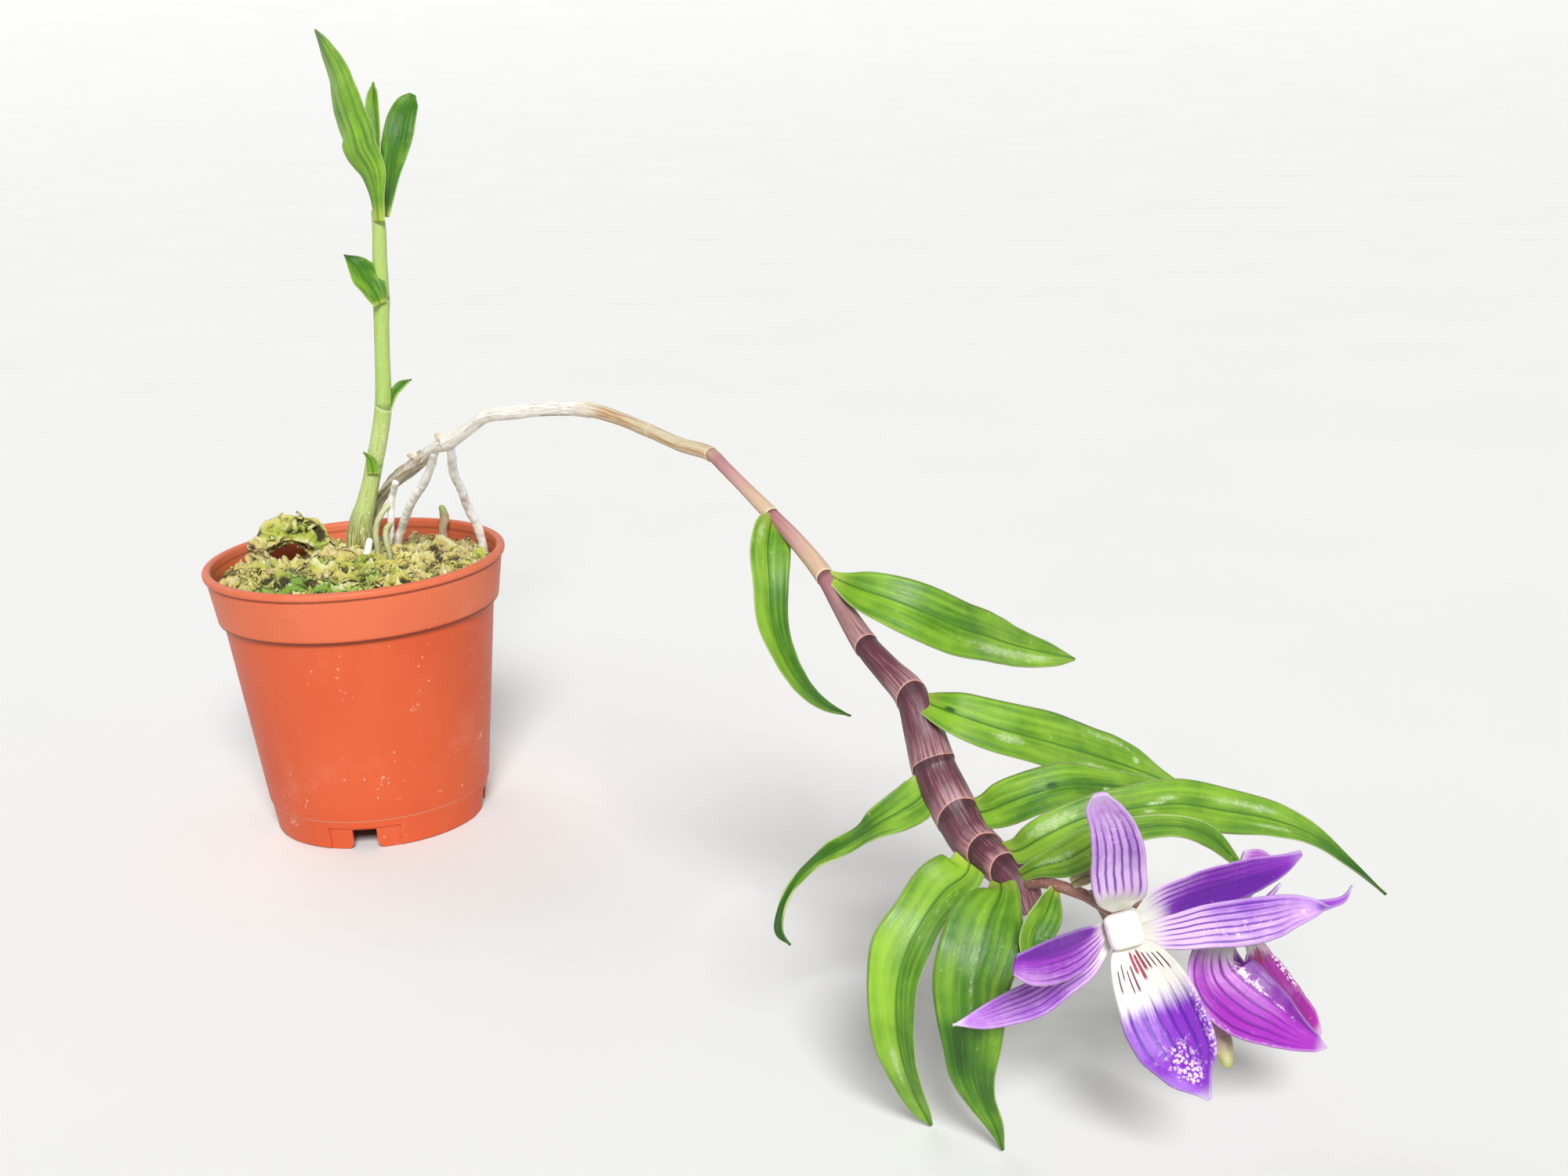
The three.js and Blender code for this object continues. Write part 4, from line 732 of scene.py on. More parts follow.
def shell(loops, fields):
    """A closed skin over a stack of loops of points, each loop joined to the next by a band of faces, and the
    first and last closed by a fan about their middles. loops is rows by around by 3, and fields holds an
    array of rows by around values for each name. Returns the points, the faces of four, the faces of three
    and the fields, with the faces turned so that the enclosed volume is positive."""
    rows, around = loops.shape[:2]
    middles = loops[[0, -1]].mean(axis=1)
    points = np.concatenate([loops.reshape(-1, 3), middles])
    ring = np.arange(rows * around).reshape(rows, around)
    after = np.roll(ring, -1, axis=1)
    quads = np.stack([ring[:-1], after[:-1], after[1:], ring[1:]], axis=-1).reshape(-1, 4)
    first = np.stack([after[0], ring[0], np.full(around, rows * around)], axis=-1)
    last = np.stack([ring[-1], after[-1], np.full(around, rows * around + 1)], axis=-1)
    fans = np.concatenate([first, last])
    triangles = np.concatenate([quads[:, [0, 1, 2]], quads[:, [0, 2, 3]], fans])
    a, b, c = (points[triangles[:, k]] for k in range(3))
    if np.sum(a * np.cross(b, c)) < 0:
        quads, fans = quads[:, ::-1], fans[:, ::-1]
    values = {}
    for name, field in fields.items():
        field = np.broadcast_to(field, (rows, around))
        values[name] = np.concatenate([field.ravel(), field[[0, -1]].mean(axis=1)])
    return points, quads, fans, values


def join(shells):
    """One set of points, faces and fields from several shells."""
    starts = np.cumsum([0] + [len(s[0]) for s in shells[:-1]])
    return (
        np.concatenate([s[0] for s in shells]),
        np.concatenate([s[1] + start for s, start in zip(shells, starts)]),
        np.concatenate([s[2] + start for s, start in zip(shells, starts)]),
        {name: np.concatenate([s[3][name] for s in shells]) for name in shells[0][3]},
    )


def blade(points, face, thickness, lean=0, fold=0.3, cup=0, wave=0, waves=3, phase=0, ruffle=0,
          tone=(), shine=()):
    """A leaf or petal as a closed shell of loops across its spine.
    s runs from -1 at one edge to 1 at the other, and t from 0 at the foot to 1 at the tip. A point lies half
    the width times (s + lean |s|) across from the spine, and half the width times (fold r + cup s²) towards
    the face, where r is √(s² + 0.005) - 0.07, a |s| with a rounded midrib. Two waves grow with s² and die
    out at both ends: wave times sin(2π waves t + phase), and a finer ruffle. The skins stand off this sheet
    by half the thickness times √(1 - s⁴)."""
    points = np.array(points, float)
    columns = BLADE["columns"]
    places, walked = walk(points[:, :3])
    t = np.linspace(0, 1, BLADE["rows"])
    at = np.interp(t * walked[-1], walked, places)
    centre = spline(points[:, :3], at)
    along = heading(points[:, :3], at)
    start, end = (unit(np.array(direction, float)) for direction in face)
    up = upright(start + (end - start) * t[:, None], along)
    across = np.cross(along, up)
    half = np.maximum(spline(points[:, 3], at, 0)[:, 0], 0.35) / 2

    s = np.linspace(-1, 1, columns + 1)
    s = np.concatenate([s, s[-2:0:-1]])
    side = np.concatenate([np.ones(columns + 1), -np.ones(columns - 1)])
    side[[0, columns]] = 0
    t, half = t[:, None], half[:, None]
    still = np.sin(np.pi * t)
    swing = np.sin(2 * np.pi * waves * t + phase + np.where(s > 0, 1.3, 0))
    ripple = wave * swing * s * s * still
    ripple += ruffle * s * s * still * np.sin(41 * t + 3 * np.sin(9 * t) + np.where(s > 0, 2, 0) + 5 * phase)
    crease = np.sqrt(s * s + 0.005) - 0.07
    lift = half * (fold * crease + cup * s * s) + ripple
    reach = half * (s + lean * np.abs(s))
    sheet = centre[:, None] + across[:, None] * reach[..., None] + up[:, None] * lift[..., None]
    lengthwise = np.gradient(sheet[:, :columns + 1], axis=0)
    crosswise = np.gradient(sheet[:, :columns + 1], axis=1)
    out = unit(np.cross(crosswise, lengthwise))
    out = np.concatenate([out, out[:, -2:0:-1]], axis=1)
    stand = side * thickness / 2 * np.sqrt(1 - s ** 4)
    loops = sheet + out * stand[:, None] * np.sign(np.sum(out * up[:, None], axis=-1))[..., None]
    return shell(loops, {
        "across": s,
        "along": t,
        "side": side,
        "margin": half * (1 - np.abs(s)),
        "midrib": half * np.abs(s),
        # The first field holds painted shade as well as the blade's own darker and lighter places; the second
        # holds painted highlights and a few small pale flecks.
        "tone": patches(tone, t, s),
        "shine": patches(shine, t, s),
    })


def ring_fields(length, share, angle):
    """The fields that every stem has: millimetres along, the share of its length, and where around it."""
    return {"length": length, "share": share, "around": np.cos(angle), "aside": np.sin(angle)}


def stem(path, side, around, step, wobble, seed):
    """A root or stalk as a closed shell: circles about the curve through the path's points, with the radius
    that the points give in between, times 1 + wobble times smooth noise. The angle starts at the side
    given."""
    path = np.array(path, float)
    places, walked = walk(path[:, :3])
    count = max(6, int(walked[-1] / step))
    gone = np.linspace(0, walked[-1], count)
    at = np.interp(gone, walked, places)
    radius = np.interp(at, np.arange(len(path)), path[:, 3])
    end = np.minimum(gone, walked[-1] - gone) / radius
    radius = radius * np.sqrt(1 - np.clip(1 - end, 0, 0.85) ** 2)
    angle = circle(around)
    loops, rim = rings(path[:, :3], at[:, None], radius[:, None], angle, side)
    loops += rim * (wobble * radius[:, None] * grain(loops * 0.9, seed))[..., None]
    return shell(loops, ring_fields(gone[:, None], (gone / walked[-1])[:, None], angle))


def limb(points, radius, step, wobble, seed):
    """A root or stalk of one radius, which is a quarter narrower at its last point."""
    radii = [radius] * (len(points) - 1) + [radius * 0.75]
    return stem(np.column_stack([points, radii]), STEM_SIDE, 20, step, wobble, seed)


def rings(points, at, radius, angle, side):
    """Points on circles about a curve, and the direction from the curve to each: cos(angle) times the side
    made square to the curve, plus sin(angle) times the direction square to both."""
    at, angle = np.broadcast_arrays(at, angle)
    along = heading(points, at)
    first = upright(np.broadcast_to(np.array(side, float), along.shape), along)
    second = np.cross(along, first)
    rim = first * np.cos(angle)[..., None] + second * np.sin(angle)[..., None]
    return spline(points, at) + rim * np.broadcast_to(radius, at.shape)[..., None], rim


def sheaths(path, side, around, tilt, lips, looks):
    """A cane as a row of nested sheaths, each a closed shell. A path point with a fifth number is the mouth
    of a sheath, and the fifth number is the radius of the next one, which comes out of it and starts inside
    it, narrowed so that its foot stays hidden. Each mouth is cut back on the side that the tilt points to, by
    the radius times the cosine of the angle from it times a share that grows with the radius, and its lip
    turns in over the next sheath. lips gives how thick the lips are, as path places and shares. looks gives
    each point its fields from the millimetres along, the share of its sheath and the angle."""
    points = np.array([point[:3] for point in path], float)
    places, walked = walk(points)
    before = np.array([point[3] for point in path], float)
    after = np.array([point[-1] for point in path], float)
    lip = np.interp(np.arange(len(path)), *lips)
    after = after + (1 - 0.55 * lip) * (before - after)
    mouths = [0] + [i for i, point in enumerate(path) if len(point) == 5] + [len(path) - 1]
    angle = circle(around)
    made = []
    for start, end in zip(mouths[:-1], mouths[1:]):
        first, last = np.interp([start, end], places, walked)
        knots = np.interp(np.arange(start, end + 1), places, walked)
        radii = np.append(after[start:end], before[end])
        foot = first - (1.3 * after[start] if start else 0)
        count = max(8, int((last - foot) / 0.4))
        gone = np.linspace(foot, last, count)
        radius = np.interp(gone, knots, radii)
        near = np.clip((gone - last + 3 * before[end]) / (3 * before[end]), 0, 1) ** 2
        rim = np.clip(1 - (last - gone) / 0.3, 0, 1)
        if end < len(path) - 1:
            gone = np.append(gone, last + np.array(MOUTH["on"]))
            radius = np.append(radius, before[end] - lip[end] * np.array(MOUTH["inward"]))
            near, rim = (np.append(field, np.ones(len(MOUTH["on"]))) for field in (near, rim))
        else:
            gone = np.append(gone, last + radius[-1] * np.array([0.3, 0.45]))
            radius = np.append(radius, radius[-1] * np.array([0.75, 0.3]))
            near, rim = np.zeros(count + 2), np.zeros(count + 2)
        if start:
            radius = radius * np.interp((gone - first) / after[start], [-1.3, -0.7], [0.6, 1])
        _, out = rings(points, np.interp(gone, walked, places)[:, None], 1, angle, side)
        cut = min(0.3 + 0.14 * (before[end] - 1), 0.6) * before[end]
        reached = gone[:, None] - cut * near[:, None] * np.sum(out * unit(np.array(tilt, float)), axis=-1)
        share = (gone[:, None] - first) / (last - first)
        fields = looks(reached, np.broadcast_to(share, reached.shape), np.broadcast_to(angle, reached.shape))
        swell = 1 + fields.pop("swell")
        loops, _ = rings(points, np.interp(reached, walked, places), radius[:, None] * swell, angle, side)
        made.append(shell(loops, {**fields, "rim": rim[:, None]}))
    return join(made)


def bark(length, angle, lumps, pitch, seed):
    """Smooth noise on a cane, with the given lumps across it and one to each pitch along it."""
    return grain(np.stack([lumps * np.cos(angle), lumps * np.sin(angle), length / pitch], axis=-1), seed)


def place_shell(name, points, quads, fans):
    """An object in the scene, of points that go from millimetres about the pot's foot to metres."""
    mesh = bpy.data.meshes.new(name)
    mesh.from_pydata(points * MM + FOOT, [], quads.tolist() + fans.tolist())
    mesh.shade_smooth()
    made = bpy.data.objects.new(name, mesh)
    bpy.context.scene.collection.objects.link(made)
    return made


def piece(name, built, nodes, material):
    """Makes an object of a shell, with its fields as attributes and its finish, and lets it stand for the CAD
    nodes that it replaces."""
    points, quads, fans, fields = built
    made = place_shell(name, points, quads, fans)
    for field, values in fields.items():
        attribute = made.data.attributes.new(field, "FLOAT", "POINT")
        attribute.data.foreach_set("value", values.astype(np.float32))
    made.data.materials.append(material)
    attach(made, "root")
    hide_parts(*nodes)
    return made


# Shaders

class Field:
    """A value that varies over a surface. Arithmetic on it adds Math nodes."""

    def __init__(self, finish, socket):
        self.finish = finish
        self.socket = socket

    def math(self, operation, *values):
        return self.finish.node("ShaderNodeMath", {"operation": operation}, values)

    def __add__(self, other):
        return self.math("ADD", self, other)

    def __sub__(self, other):
        return self.math("SUBTRACT", self, other)

    def __mul__(self, other):
        return self.math("MULTIPLY", self, other)

    def __truediv__(self, other):
        return self.math("DIVIDE", self, other)

    def __radd__(self, other):
        return self.math("ADD", other, self)

    def __rsub__(self, other):
        return self.math("SUBTRACT", other, self)

    def __rmul__(self, other):
        return self.math("MULTIPLY", other, self)

    def __abs__(self):
        return self.math("ABSOLUTE", self)

    def fraction(self):
        return self.math("FRACT", self)

    def most(self, other):
        return self.math("MAXIMUM", self, other)

    def least(self, other):
        return self.math("MINIMUM", self, other)

    def step(self, low, high):
        """0 up to low, 1 from high on, and a smooth step in between. It falls where high is under low."""
        settings = {"interpolation_type": "SMOOTHSTEP", "clamp": True}
        if low < high:
            return self.finish.node("ShaderNodeMapRange", settings, [self, low, high, 0.0, 1.0])
        return self.finish.node("ShaderNodeMapRange", settings, [self, high, low, 1.0, 0.0])

    def lines(self, count, width, offset):
        """Lines across the value: count of them for each whole 1, each the given share of its pitch
        wide."""
        return abs((self * count + offset).fraction() - 0.5).step(width / 2, 0)


class Finish:
    """A material and its nodes. Numbers that hold all over the surface go straight to the shader."""

    def __init__(self, name, **constants):
        self.material = bpy.data.materials.new(name)
        self.material.use_nodes = True
        self.tree = self.material.node_tree
        self.tree.nodes.clear()
        self.shader = self.tree.nodes.new("ShaderNodeBsdfPrincipled")
        output = self.tree.nodes.new("ShaderNodeOutputMaterial")
        self.tree.links.new(self.shader.outputs[0], output.inputs["Surface"])
        self.coordinates = self.node("ShaderNodeTexCoord", {}, [], "Object")
        for socket, value in constants.items():
            self.shader.inputs[socket.replace("_", " ")].default_value = value

    def node(self, kind, settings, inputs, output=0):
        """Adds a node of a type with its settings, then its sockets' values or links by place or name."""
        made = self.tree.nodes.new(kind)
        for name, value in settings.items():
            if name == "stops":
                while len(made.color_ramp.elements) < len(value):
                    made.color_ramp.elements.new(0.5)
                for element, (position, colour) in zip(made.color_ramp.elements, value):
                    element.position = position
                    element.color = self.rgba(colour)
            else:
                setattr(made, name, value)
        for key, value in inputs.items() if isinstance(inputs, dict) else enumerate(inputs):
            if isinstance(value, Field):
                self.tree.links.new(value.socket, made.inputs[key])
            else:
                made.inputs[key].default_value = value
        return Field(self, made.outputs[output])

    def attributes(self, *names):
        """The fields of the surface with these names."""
        return [self.node("ShaderNodeAttribute", {"attribute_name": name}, [], "Fac") for name in names]

    def noise(self, scale, detail, roughness=0.5, vector=None):
        """Smooth noise from 0 to 1 with the given number of lumps to a metre of the vector."""
        inputs = {"Vector": vector or self.coordinates, "Scale": scale, "Detail": detail}
        return self.node("ShaderNodeTexNoise", {}, {**inputs, "Roughness": roughness}, "Fac")

    def cells(self, scale):
        """The distance from the middle of the nearest cell, with the given number of cells to a metre."""
        inputs = {"Vector": self.coordinates, "Scale": scale}
        return self.node("ShaderNodeTexVoronoi", {}, inputs, "Distance")

    def measured(self, operation, vector, output):
        """Vector maths between the object's coordinates and a vector."""
        settings = {"operation": operation}
        return self.node("ShaderNodeVectorMath", settings, [self.coordinates, vector], output)

    def vector(self, x, y, z):
        return self.node("ShaderNodeCombineXYZ", {}, [x, y, z])

    def mix(self, first, second, share):
        """The first colour where the share is 0 and the second where it is 1."""
        inputs = {0: share, 6: self.rgba(first), 7: self.rgba(second)}
        return self.node("ShaderNodeMix", {"data_type": "RGBA"}, inputs, 2)

    def ramp(self, value, stops):
        return self.node("ShaderNodeValToRGB", {"stops": stops}, [value])

    def rgba(self, colour):
        """A colour as a socket takes it: a field as it is, linear values, or a screen colour's code."""
        if isinstance(colour, int):
            colour = linear(colour)
        return colour if isinstance(colour, Field) else (*colour[:3], 1)

    def bump(self, height, distance):
        """Tilts the surface as if it stood proud by the height times the distance, in metres."""
        normal = self.node("ShaderNodeBump", {}, {"Height": height, "Distance": distance}, "Normal")
        self.tree.links.new(normal.socket, self.shader.inputs["Normal"])

    def show(self, **fields):
        """Links fields to the shader's sockets, and returns the material."""
        for socket, value in fields.items():
            self.tree.links.new(value.socket, self.shader.inputs[socket.replace("_", " ")])
        return self.material


def leaf_finish(name, light, dark, pale_veins=0.2, beneath=0xB7D676):
    """Leaf: green that wanders between light and dark in streaks, with shallow grooves and thin pale veins
    lengthwise, a darker midrib on the face and a pale one beneath, a thin pale margin, fine pale dots, darker
    places that are partly its own colour and partly painted shade, and painted highlights: a pale sheen with
    frosted glints where the light would catch it, which also make a few small pale flecks."""
    leaf = Finish(name, Specular_IOR_Level=0.33, Coat_Weight=0.06, Coat_Roughness=0.3)
    across, along, side = leaf.attributes("across", "along", "side")
    margin, midrib, tone, shine = leaf.attributes("margin", "midrib", "tone", "shine")
    mottle = leaf.noise(150, 4, 0.6)
    streak = leaf.noise(5, 1, 0.5, leaf.vector(across * 0.9, along * 0.6, side * 3))
    fine = leaf.noise(40, 2, 0.5, leaf.vector(across * 2.2, along * 0.2, side * 3))
    sway = leaf.noise(6, 1, 0.5, leaf.vector(across * 0.3, along * 1.5, side)) - 0.5
    groove = (across + sway * 0.06).lines(3.1, 0.7, 0.0) * along.step(0.02, 0.2)
    # The patches lighten or darken the green, and where they darken it most it turns near black-green: partly
    # the leaf's own colour, as in dark spots and tips, and partly painted shade where a fold or a flower
    # shades it.
    level = 0.52 + tone * 0.6 + (mottle - 0.5) * 0.9 + (streak - 0.5) * 0.8
    level = level + (fine - 0.5) * 0.12 - groove * 0.05
    green = leaf.mix(dark, light, level.step(0, 1))
    green = leaf.mix(green, 0x1E4608, tone.step(-0.55, -1.1) * 0.8)
    green = leaf.mix(green, 0xC9D95A, along.step(0.1, 0.0) * 0.6)
    vein = (across + sway * 0.06).lines(3.1, 0.09, 0.5) * along.step(0.02, 0.15) * margin.step(0.1, 0.6)
    green = leaf.mix(green, 0xD3E88E, vein * (0.35 + streak) * pale_veins)
    line = midrib.step(0.36, 0.06)
    green = leaf.mix(green, 0x3A7212, line * side.step(0, 0.5) * 0.75)
    green = leaf.mix(green, beneath, line * side.step(0, -0.5) * 0.6)
    dots = leaf.cells(560).step(0.16, 0.07) * leaf.noise(300, 1).step(0.52, 0.62)
    green = leaf.mix(green, 0xDFECAA, dots * 0.25)
    green = leaf.mix(green, 0xDCE6A8, margin.step(0.2, 0.03) * along.step(1, 0.8) * 0.8)
    # Painted highlights: a pale sheen and frosted white glints where the highlight patches are, which also
    # make a few small pale flecks.
    highlight_glow = (shine + (mottle - 0.5) * 0.5).step(0.1, 1.1)
    green = leaf.mix(green, 0xC4E582, highlight_glow * 0.5)
    highlight_frost = (shine * 1.1 + (leaf.noise(1100, 3) - 0.5) * 1.8).step(0.3, 0.75)
    highlight_frost = highlight_frost * leaf.cells(6000).step(0.7, 0.3)
    green = leaf.mix(green, 0xFAFCF2, highlight_frost * shine.step(0.02, 0.4) * 0.4)
    leaf.bump(fine * 0.8 + vein * 0.5 - groove * 0.8 + leaf.noise(1300, 3) * 0.5 - line * side * 0.6, 0.00005)
    roughness = 0.36 + (mottle - 0.5) * 0.25 + dots * 0.2
    return leaf.show(Base_Color=green, Roughness=roughness)


def petal_finish(name, lilac, violet, deep, pink, white_to=0.07, tip=0.5, lip=False):
    """Petal: white at the foot, lilac and then violet further out, with darker places that are partly its own
    colour and partly painted shade, dark veins lengthwise, pale edges, a tip as pale as it is given, and
    painted glints of glassy cells where highlights are placed. A lip has a fan of short crimson streaks on its
    white."""
    petal = Finish(name, Specular_IOR_Level=0.4)
    across, along, side = petal.attributes("across", "along", "side")
    margin, tone, shine = petal.attributes("margin", "tone", "shine")
    streak = petal.noise(5, 3, 0.6, petal.vector(across * 2.4, along * 0.5, side * 2))
    mottle = petal.noise(420, 3, 0.6)
    rich = tuple((1 - pink) * v + pink * p for v, p in zip(violet, linear(0xC224B4)))
    dark = tuple((1 - pink) * v + pink * p for v, p in zip(linear(0x560FA4), linear(0x8A0A86)))
    light = tuple((1 - 0.7 * pink) * v + 0.7 * pink * p for v, p in zip(lilac, linear(0xF09CE0)))
    level = deep - 0.4 + along.step(white_to * 0.7, 0.6) * 0.6 + (streak - 0.5) * 0.9 + (mottle - 0.5) * 0.5
    # Where the patches darken it, the violet deepens and then turns near black: partly the petal's own colour
    # and partly painted shade, such as a shaded lower half.
    colour = petal.mix(light, rich, (level - tone * 0.5).step(0, 1))
    colour = petal.mix(colour, dark, (0 - tone + (streak - 0.5) * 0.5).step(0.15, 1.0) * 0.9)
    sway = petal.noise(7, 1, 0.5, petal.vector(across * 0.3, along * 1.5, side)) - 0.5
    vein = (across + sway * 0.08).lines(3.3, 0.6, 0.0) * along.step(0.06, 0.25) * along.step(0.95, 0.6)
    colour = petal.mix(colour, dark, vein * margin.step(0.1, 0.7) * (0.4 + 1.1 * streak).least(1.0))
    colour = petal.mix(colour, 0xF0DCF8, margin.step(0.5, 0.05) * 0.3)
    colour = petal.mix(colour, 0xF3ECF6, along.step(0.9, 0.99) * tip)
    edge = (along + (streak - 0.5) * 0.2 + vein * 0.03).step(white_to + 0.18, white_to)
    colour = petal.mix(colour, 0xF4F3E8, edge)
    # Painted glints: pale glassy cells where the highlight patches are.
    painted_glints = (shine + (petal.noise(1100, 3, 0.6) - 0.5) * 1.5).step(0.2, 0.75)
    colour = petal.mix(colour, 0xFBE4FA, painted_glints * petal.cells(2200).step(0.62, 0.4) * 0.9)
    if lip:
        fan = across * 6.5 + 0.5
        number = fan.math("FLOOR", fan)
        chance = petal.node("ShaderNodeTexWhiteNoise", {"noise_dimensions": "1D"}, {"W": number}, "Value")
        middle = abs(number).step(2.6, 1.2)
        near = 0.15 - middle * 0.05 + (chance - 0.5) * 0.05
        far = near + 0.12 + middle * 0.03 + chance * 0.06
        width = 0.17 + middle * 0.2
        drawn = (width - abs(fan.fraction() - 0.5)).step(0, 0.05)
        drawn = drawn * (along - near).step(0, 0.02) * (far - along).step(0, 0.04)
        drawn = drawn * abs(across).step(0.92, 0.88)
        crimson = petal.mix(0x4A0F2A, 0x9C1240, middle)
        colour = petal.mix(colour, crimson, drawn * side.step(-0.5, 0) * 0.95)
    petal.bump(streak * 0.6 + petal.noise(2000, 2) * 0.5 + painted_glints * 0.5 - vein * 0.4, 0.00006)
    roughness = 0.45 + (mottle - 0.5) * 0.2 - painted_glints * 0.2
    return petal.show(Base_Color=colour, Roughness=roughness)


def pot_finish(colour):
    """Pot: satin plastic, a little uneven, with dusty patches, pale specks, rubs and scuffs, a painted
    highlight along the edge over its foot, and painted shadow in the corners under its band and its lip."""
    pot = Finish("pot_plastic", Specular_IOR_Level=0.25)
    height = pot.attributes("height")[0]
    cloud = pot.noise(60, 4)
    dust = pot.noise(45, 6, 0.7).step(0.5, 0.78)
    specks = pot.cells(480).step(0.14, 0.06) * pot.noise(90, 1).step(0.5, 0.62)
    fine = pot.noise(700, 3, 0.7)
    worn = fine * 0
    for x, y, z, size in POT_SCUFFS:
        middle = tuple(FOOT + np.array([x, y, z]) * MM)
        away = pot.measured("DISTANCE", middle, "Value") / (size * MM)
        worn = worn.most((away + (fine - 0.5) * 1.5).step(0.9, 0.4))
    worn = worn * (pot.noise(1600, 2, 0.6) + (fine - 0.5) * 0.5).step(0.54, 0.6)
    rub = pot.noise(1, 5, 0.7, pot.measured("MULTIPLY", (160, 160, 520), "Vector")).step(0.66, 0.74)
    plastic = pot.mix(colour, 0xD9552E, cloud.step(0.35, 0.7) * 0.5)
    plastic = pot.mix(plastic, 0xF0906A, height.step(43.5, 46) * 0.35)
    plastic = pot.mix(plastic, 0xF2C9B0, dust * 0.18 + specks * 0.6 + rub * 0.2 + worn * 0.8)
    # Painted highlight: a pale line along the edge at the top of the foot.
    plastic = pot.mix(plastic, 0xF7B795, abs(height - POT["foot_top"] - 0.05).step(0.3, 0.05) * 0.5)
    lip = POT["height"] - POT["lip_height"]
    # Painted shadow: dark lines in the corner under the band and under the lip.
    under = abs(height - POT["band_bottom"] - 0.1).step(0.55, 0.2)
    under = under + abs(height - lip + 0.15).step(0.4, 0.1) * 0.5
    plastic = pot.mix(plastic, 0x5A2416, under * 0.8)
    pot.bump(pot.noise(900, 3) * 0.5 + (rub + worn) * 0.4, 0.00004)
    return pot.show(Base_Color=plastic, Roughness=0.36 + cloud * 0.16 + dust * 0.25)


def moss_finish(dry, green):
    """Moss: scraps of straw, tan and yellow-green, greener in patches, with painted shade in its creases and
    in the gaps between scraps, and painted highlights on its ridges.
    """
    moss = Finish("dried_moss", Specular_IOR_Level=0.25, Sheen_Weight=0.1)
    hue, depth = moss.attributes("hue", "depth")
    wide = moss.noise(110, 3)
    fine = moss.noise(900, 3, 0.6)
    shade = hue + (wide - 0.5) * 0.5 + (fine - 0.5) * 0.35
    mixed = moss.ramp(shade, [
        (0.0, 0xB59A5C), (0.3, 0xDCCB80), (0.5, dry), (0.72, 0xB5BF4C), (1.0, green),
    ])
    # Painted shade: near black in the creases and in the gaps between scraps.
    mixed = moss.mix(mixed, 0x2E2410, (depth + (fine - 0.5) * 0.9).step(0.25, 0.75) * 0.95)
    # Painted highlights: pale on the ridges, away from the creases.
    mixed = moss.mix(mixed, 0xF6F0BE, (fine - depth * 0.6).step(0.45, 0.8) * 0.75)
    moss.bump(fine + moss.noise(2600, 2) * 0.4, 0.0004)
    return moss.show(Base_Color=mixed, Roughness=0.7 + (fine - 0.5) * 0.4)


def old_cane_finish(papery, purple):
    """Old cane: papery white sheaths with a dark slit beneath, then beige ones streaked orange, then pink to
    tan, then purple-brown ones with fine dark lines lengthwise. Each mouth has a cream rim, and a shadow lies
    before it."""
    cane = Finish("old_cane_sheath", Specular_IOR_Level=0.4)
    length, share, rim, around, aside = cane.attributes("length", "share", "rim", "around", "aside")
    beige, blush, plum, fibrous = cane.attributes("beige", "blush", "plum", "fibrous")
    streak = cane.noise(2.4, 4, 0.6, cane.vector(around, aside, length * 0.03))
    lines = cane.noise(9, 3, 0.6, cane.vector(around, aside, length * 0.02))
    blotch = cane.noise(320, 4, 0.6)
    white = cane.mix(papery, 0xCFC6B6, (streak + (blotch - 0.5) * 0.6).step(0.5, 0.75) * 0.7)
    white = cane.mix(white, 0x8A7658, lines.step(0.56, 0.64) * 0.6)
    slit = abs(length - 97 + (lines - 0.5) * 8).step(6.5, 5) * (around * -0.35 - aside * 0.9).step(0.86, 0.95)
    white = cane.mix(white, 0x4A2E1C, slit * 0.85)
    straw = cane.mix(0xF4EAD2, 0x86603A, (lines + (blotch - 0.5) * 0.4).step(0.48, 0.6))
    white = cane.mix(white, straw, fibrous * 0.8)
    sand = cane.mix(0xE2D2AE, 0xC08A50, (streak + (lines - 0.5) * 0.6).step(0.45, 0.7))
    fade = share + (streak - 0.5) * 0.7 + (lines - 0.5) * 0.3
    pink = cane.ramp(fade, [(0.0, 0xB2727A), (0.45, 0xD0A09C), (0.9, 0xDFC29E)])
    brown = cane.ramp(fade, [(0.0, purple), (0.55, 0x7A4654), (0.95, 0xBD8A92)])
    brown = cane.mix(brown, 0x4A2430, lines.step(0.46, 0.62) * 0.75)
    brown = cane.mix(brown, 0xC49A94, lines.step(0.42, 0.3) * 0.5)
    skin = cane.mix(cane.mix(cane.mix(white, sand, beige), pink, blush), brown, plum)
    skin = cane.mix(skin, 0x3A2420, share.step(0.05, 0.0) * share.step(-0.4, 0) * 0.5 * blush)
    lip = cane.mix(0xF2E8C4, 0xDFA98E, plum)
    skin = cane.mix(skin, lip, rim * (0.35 + 0.4 * blush - 0.2 * plum))
    cane.bump(streak * 0.6 + lines + blotch * 0.4, 0.00012)
    return cane.show(Base_Color=skin, Roughness=0.42 + (blotch - 0.5) * 0.3)


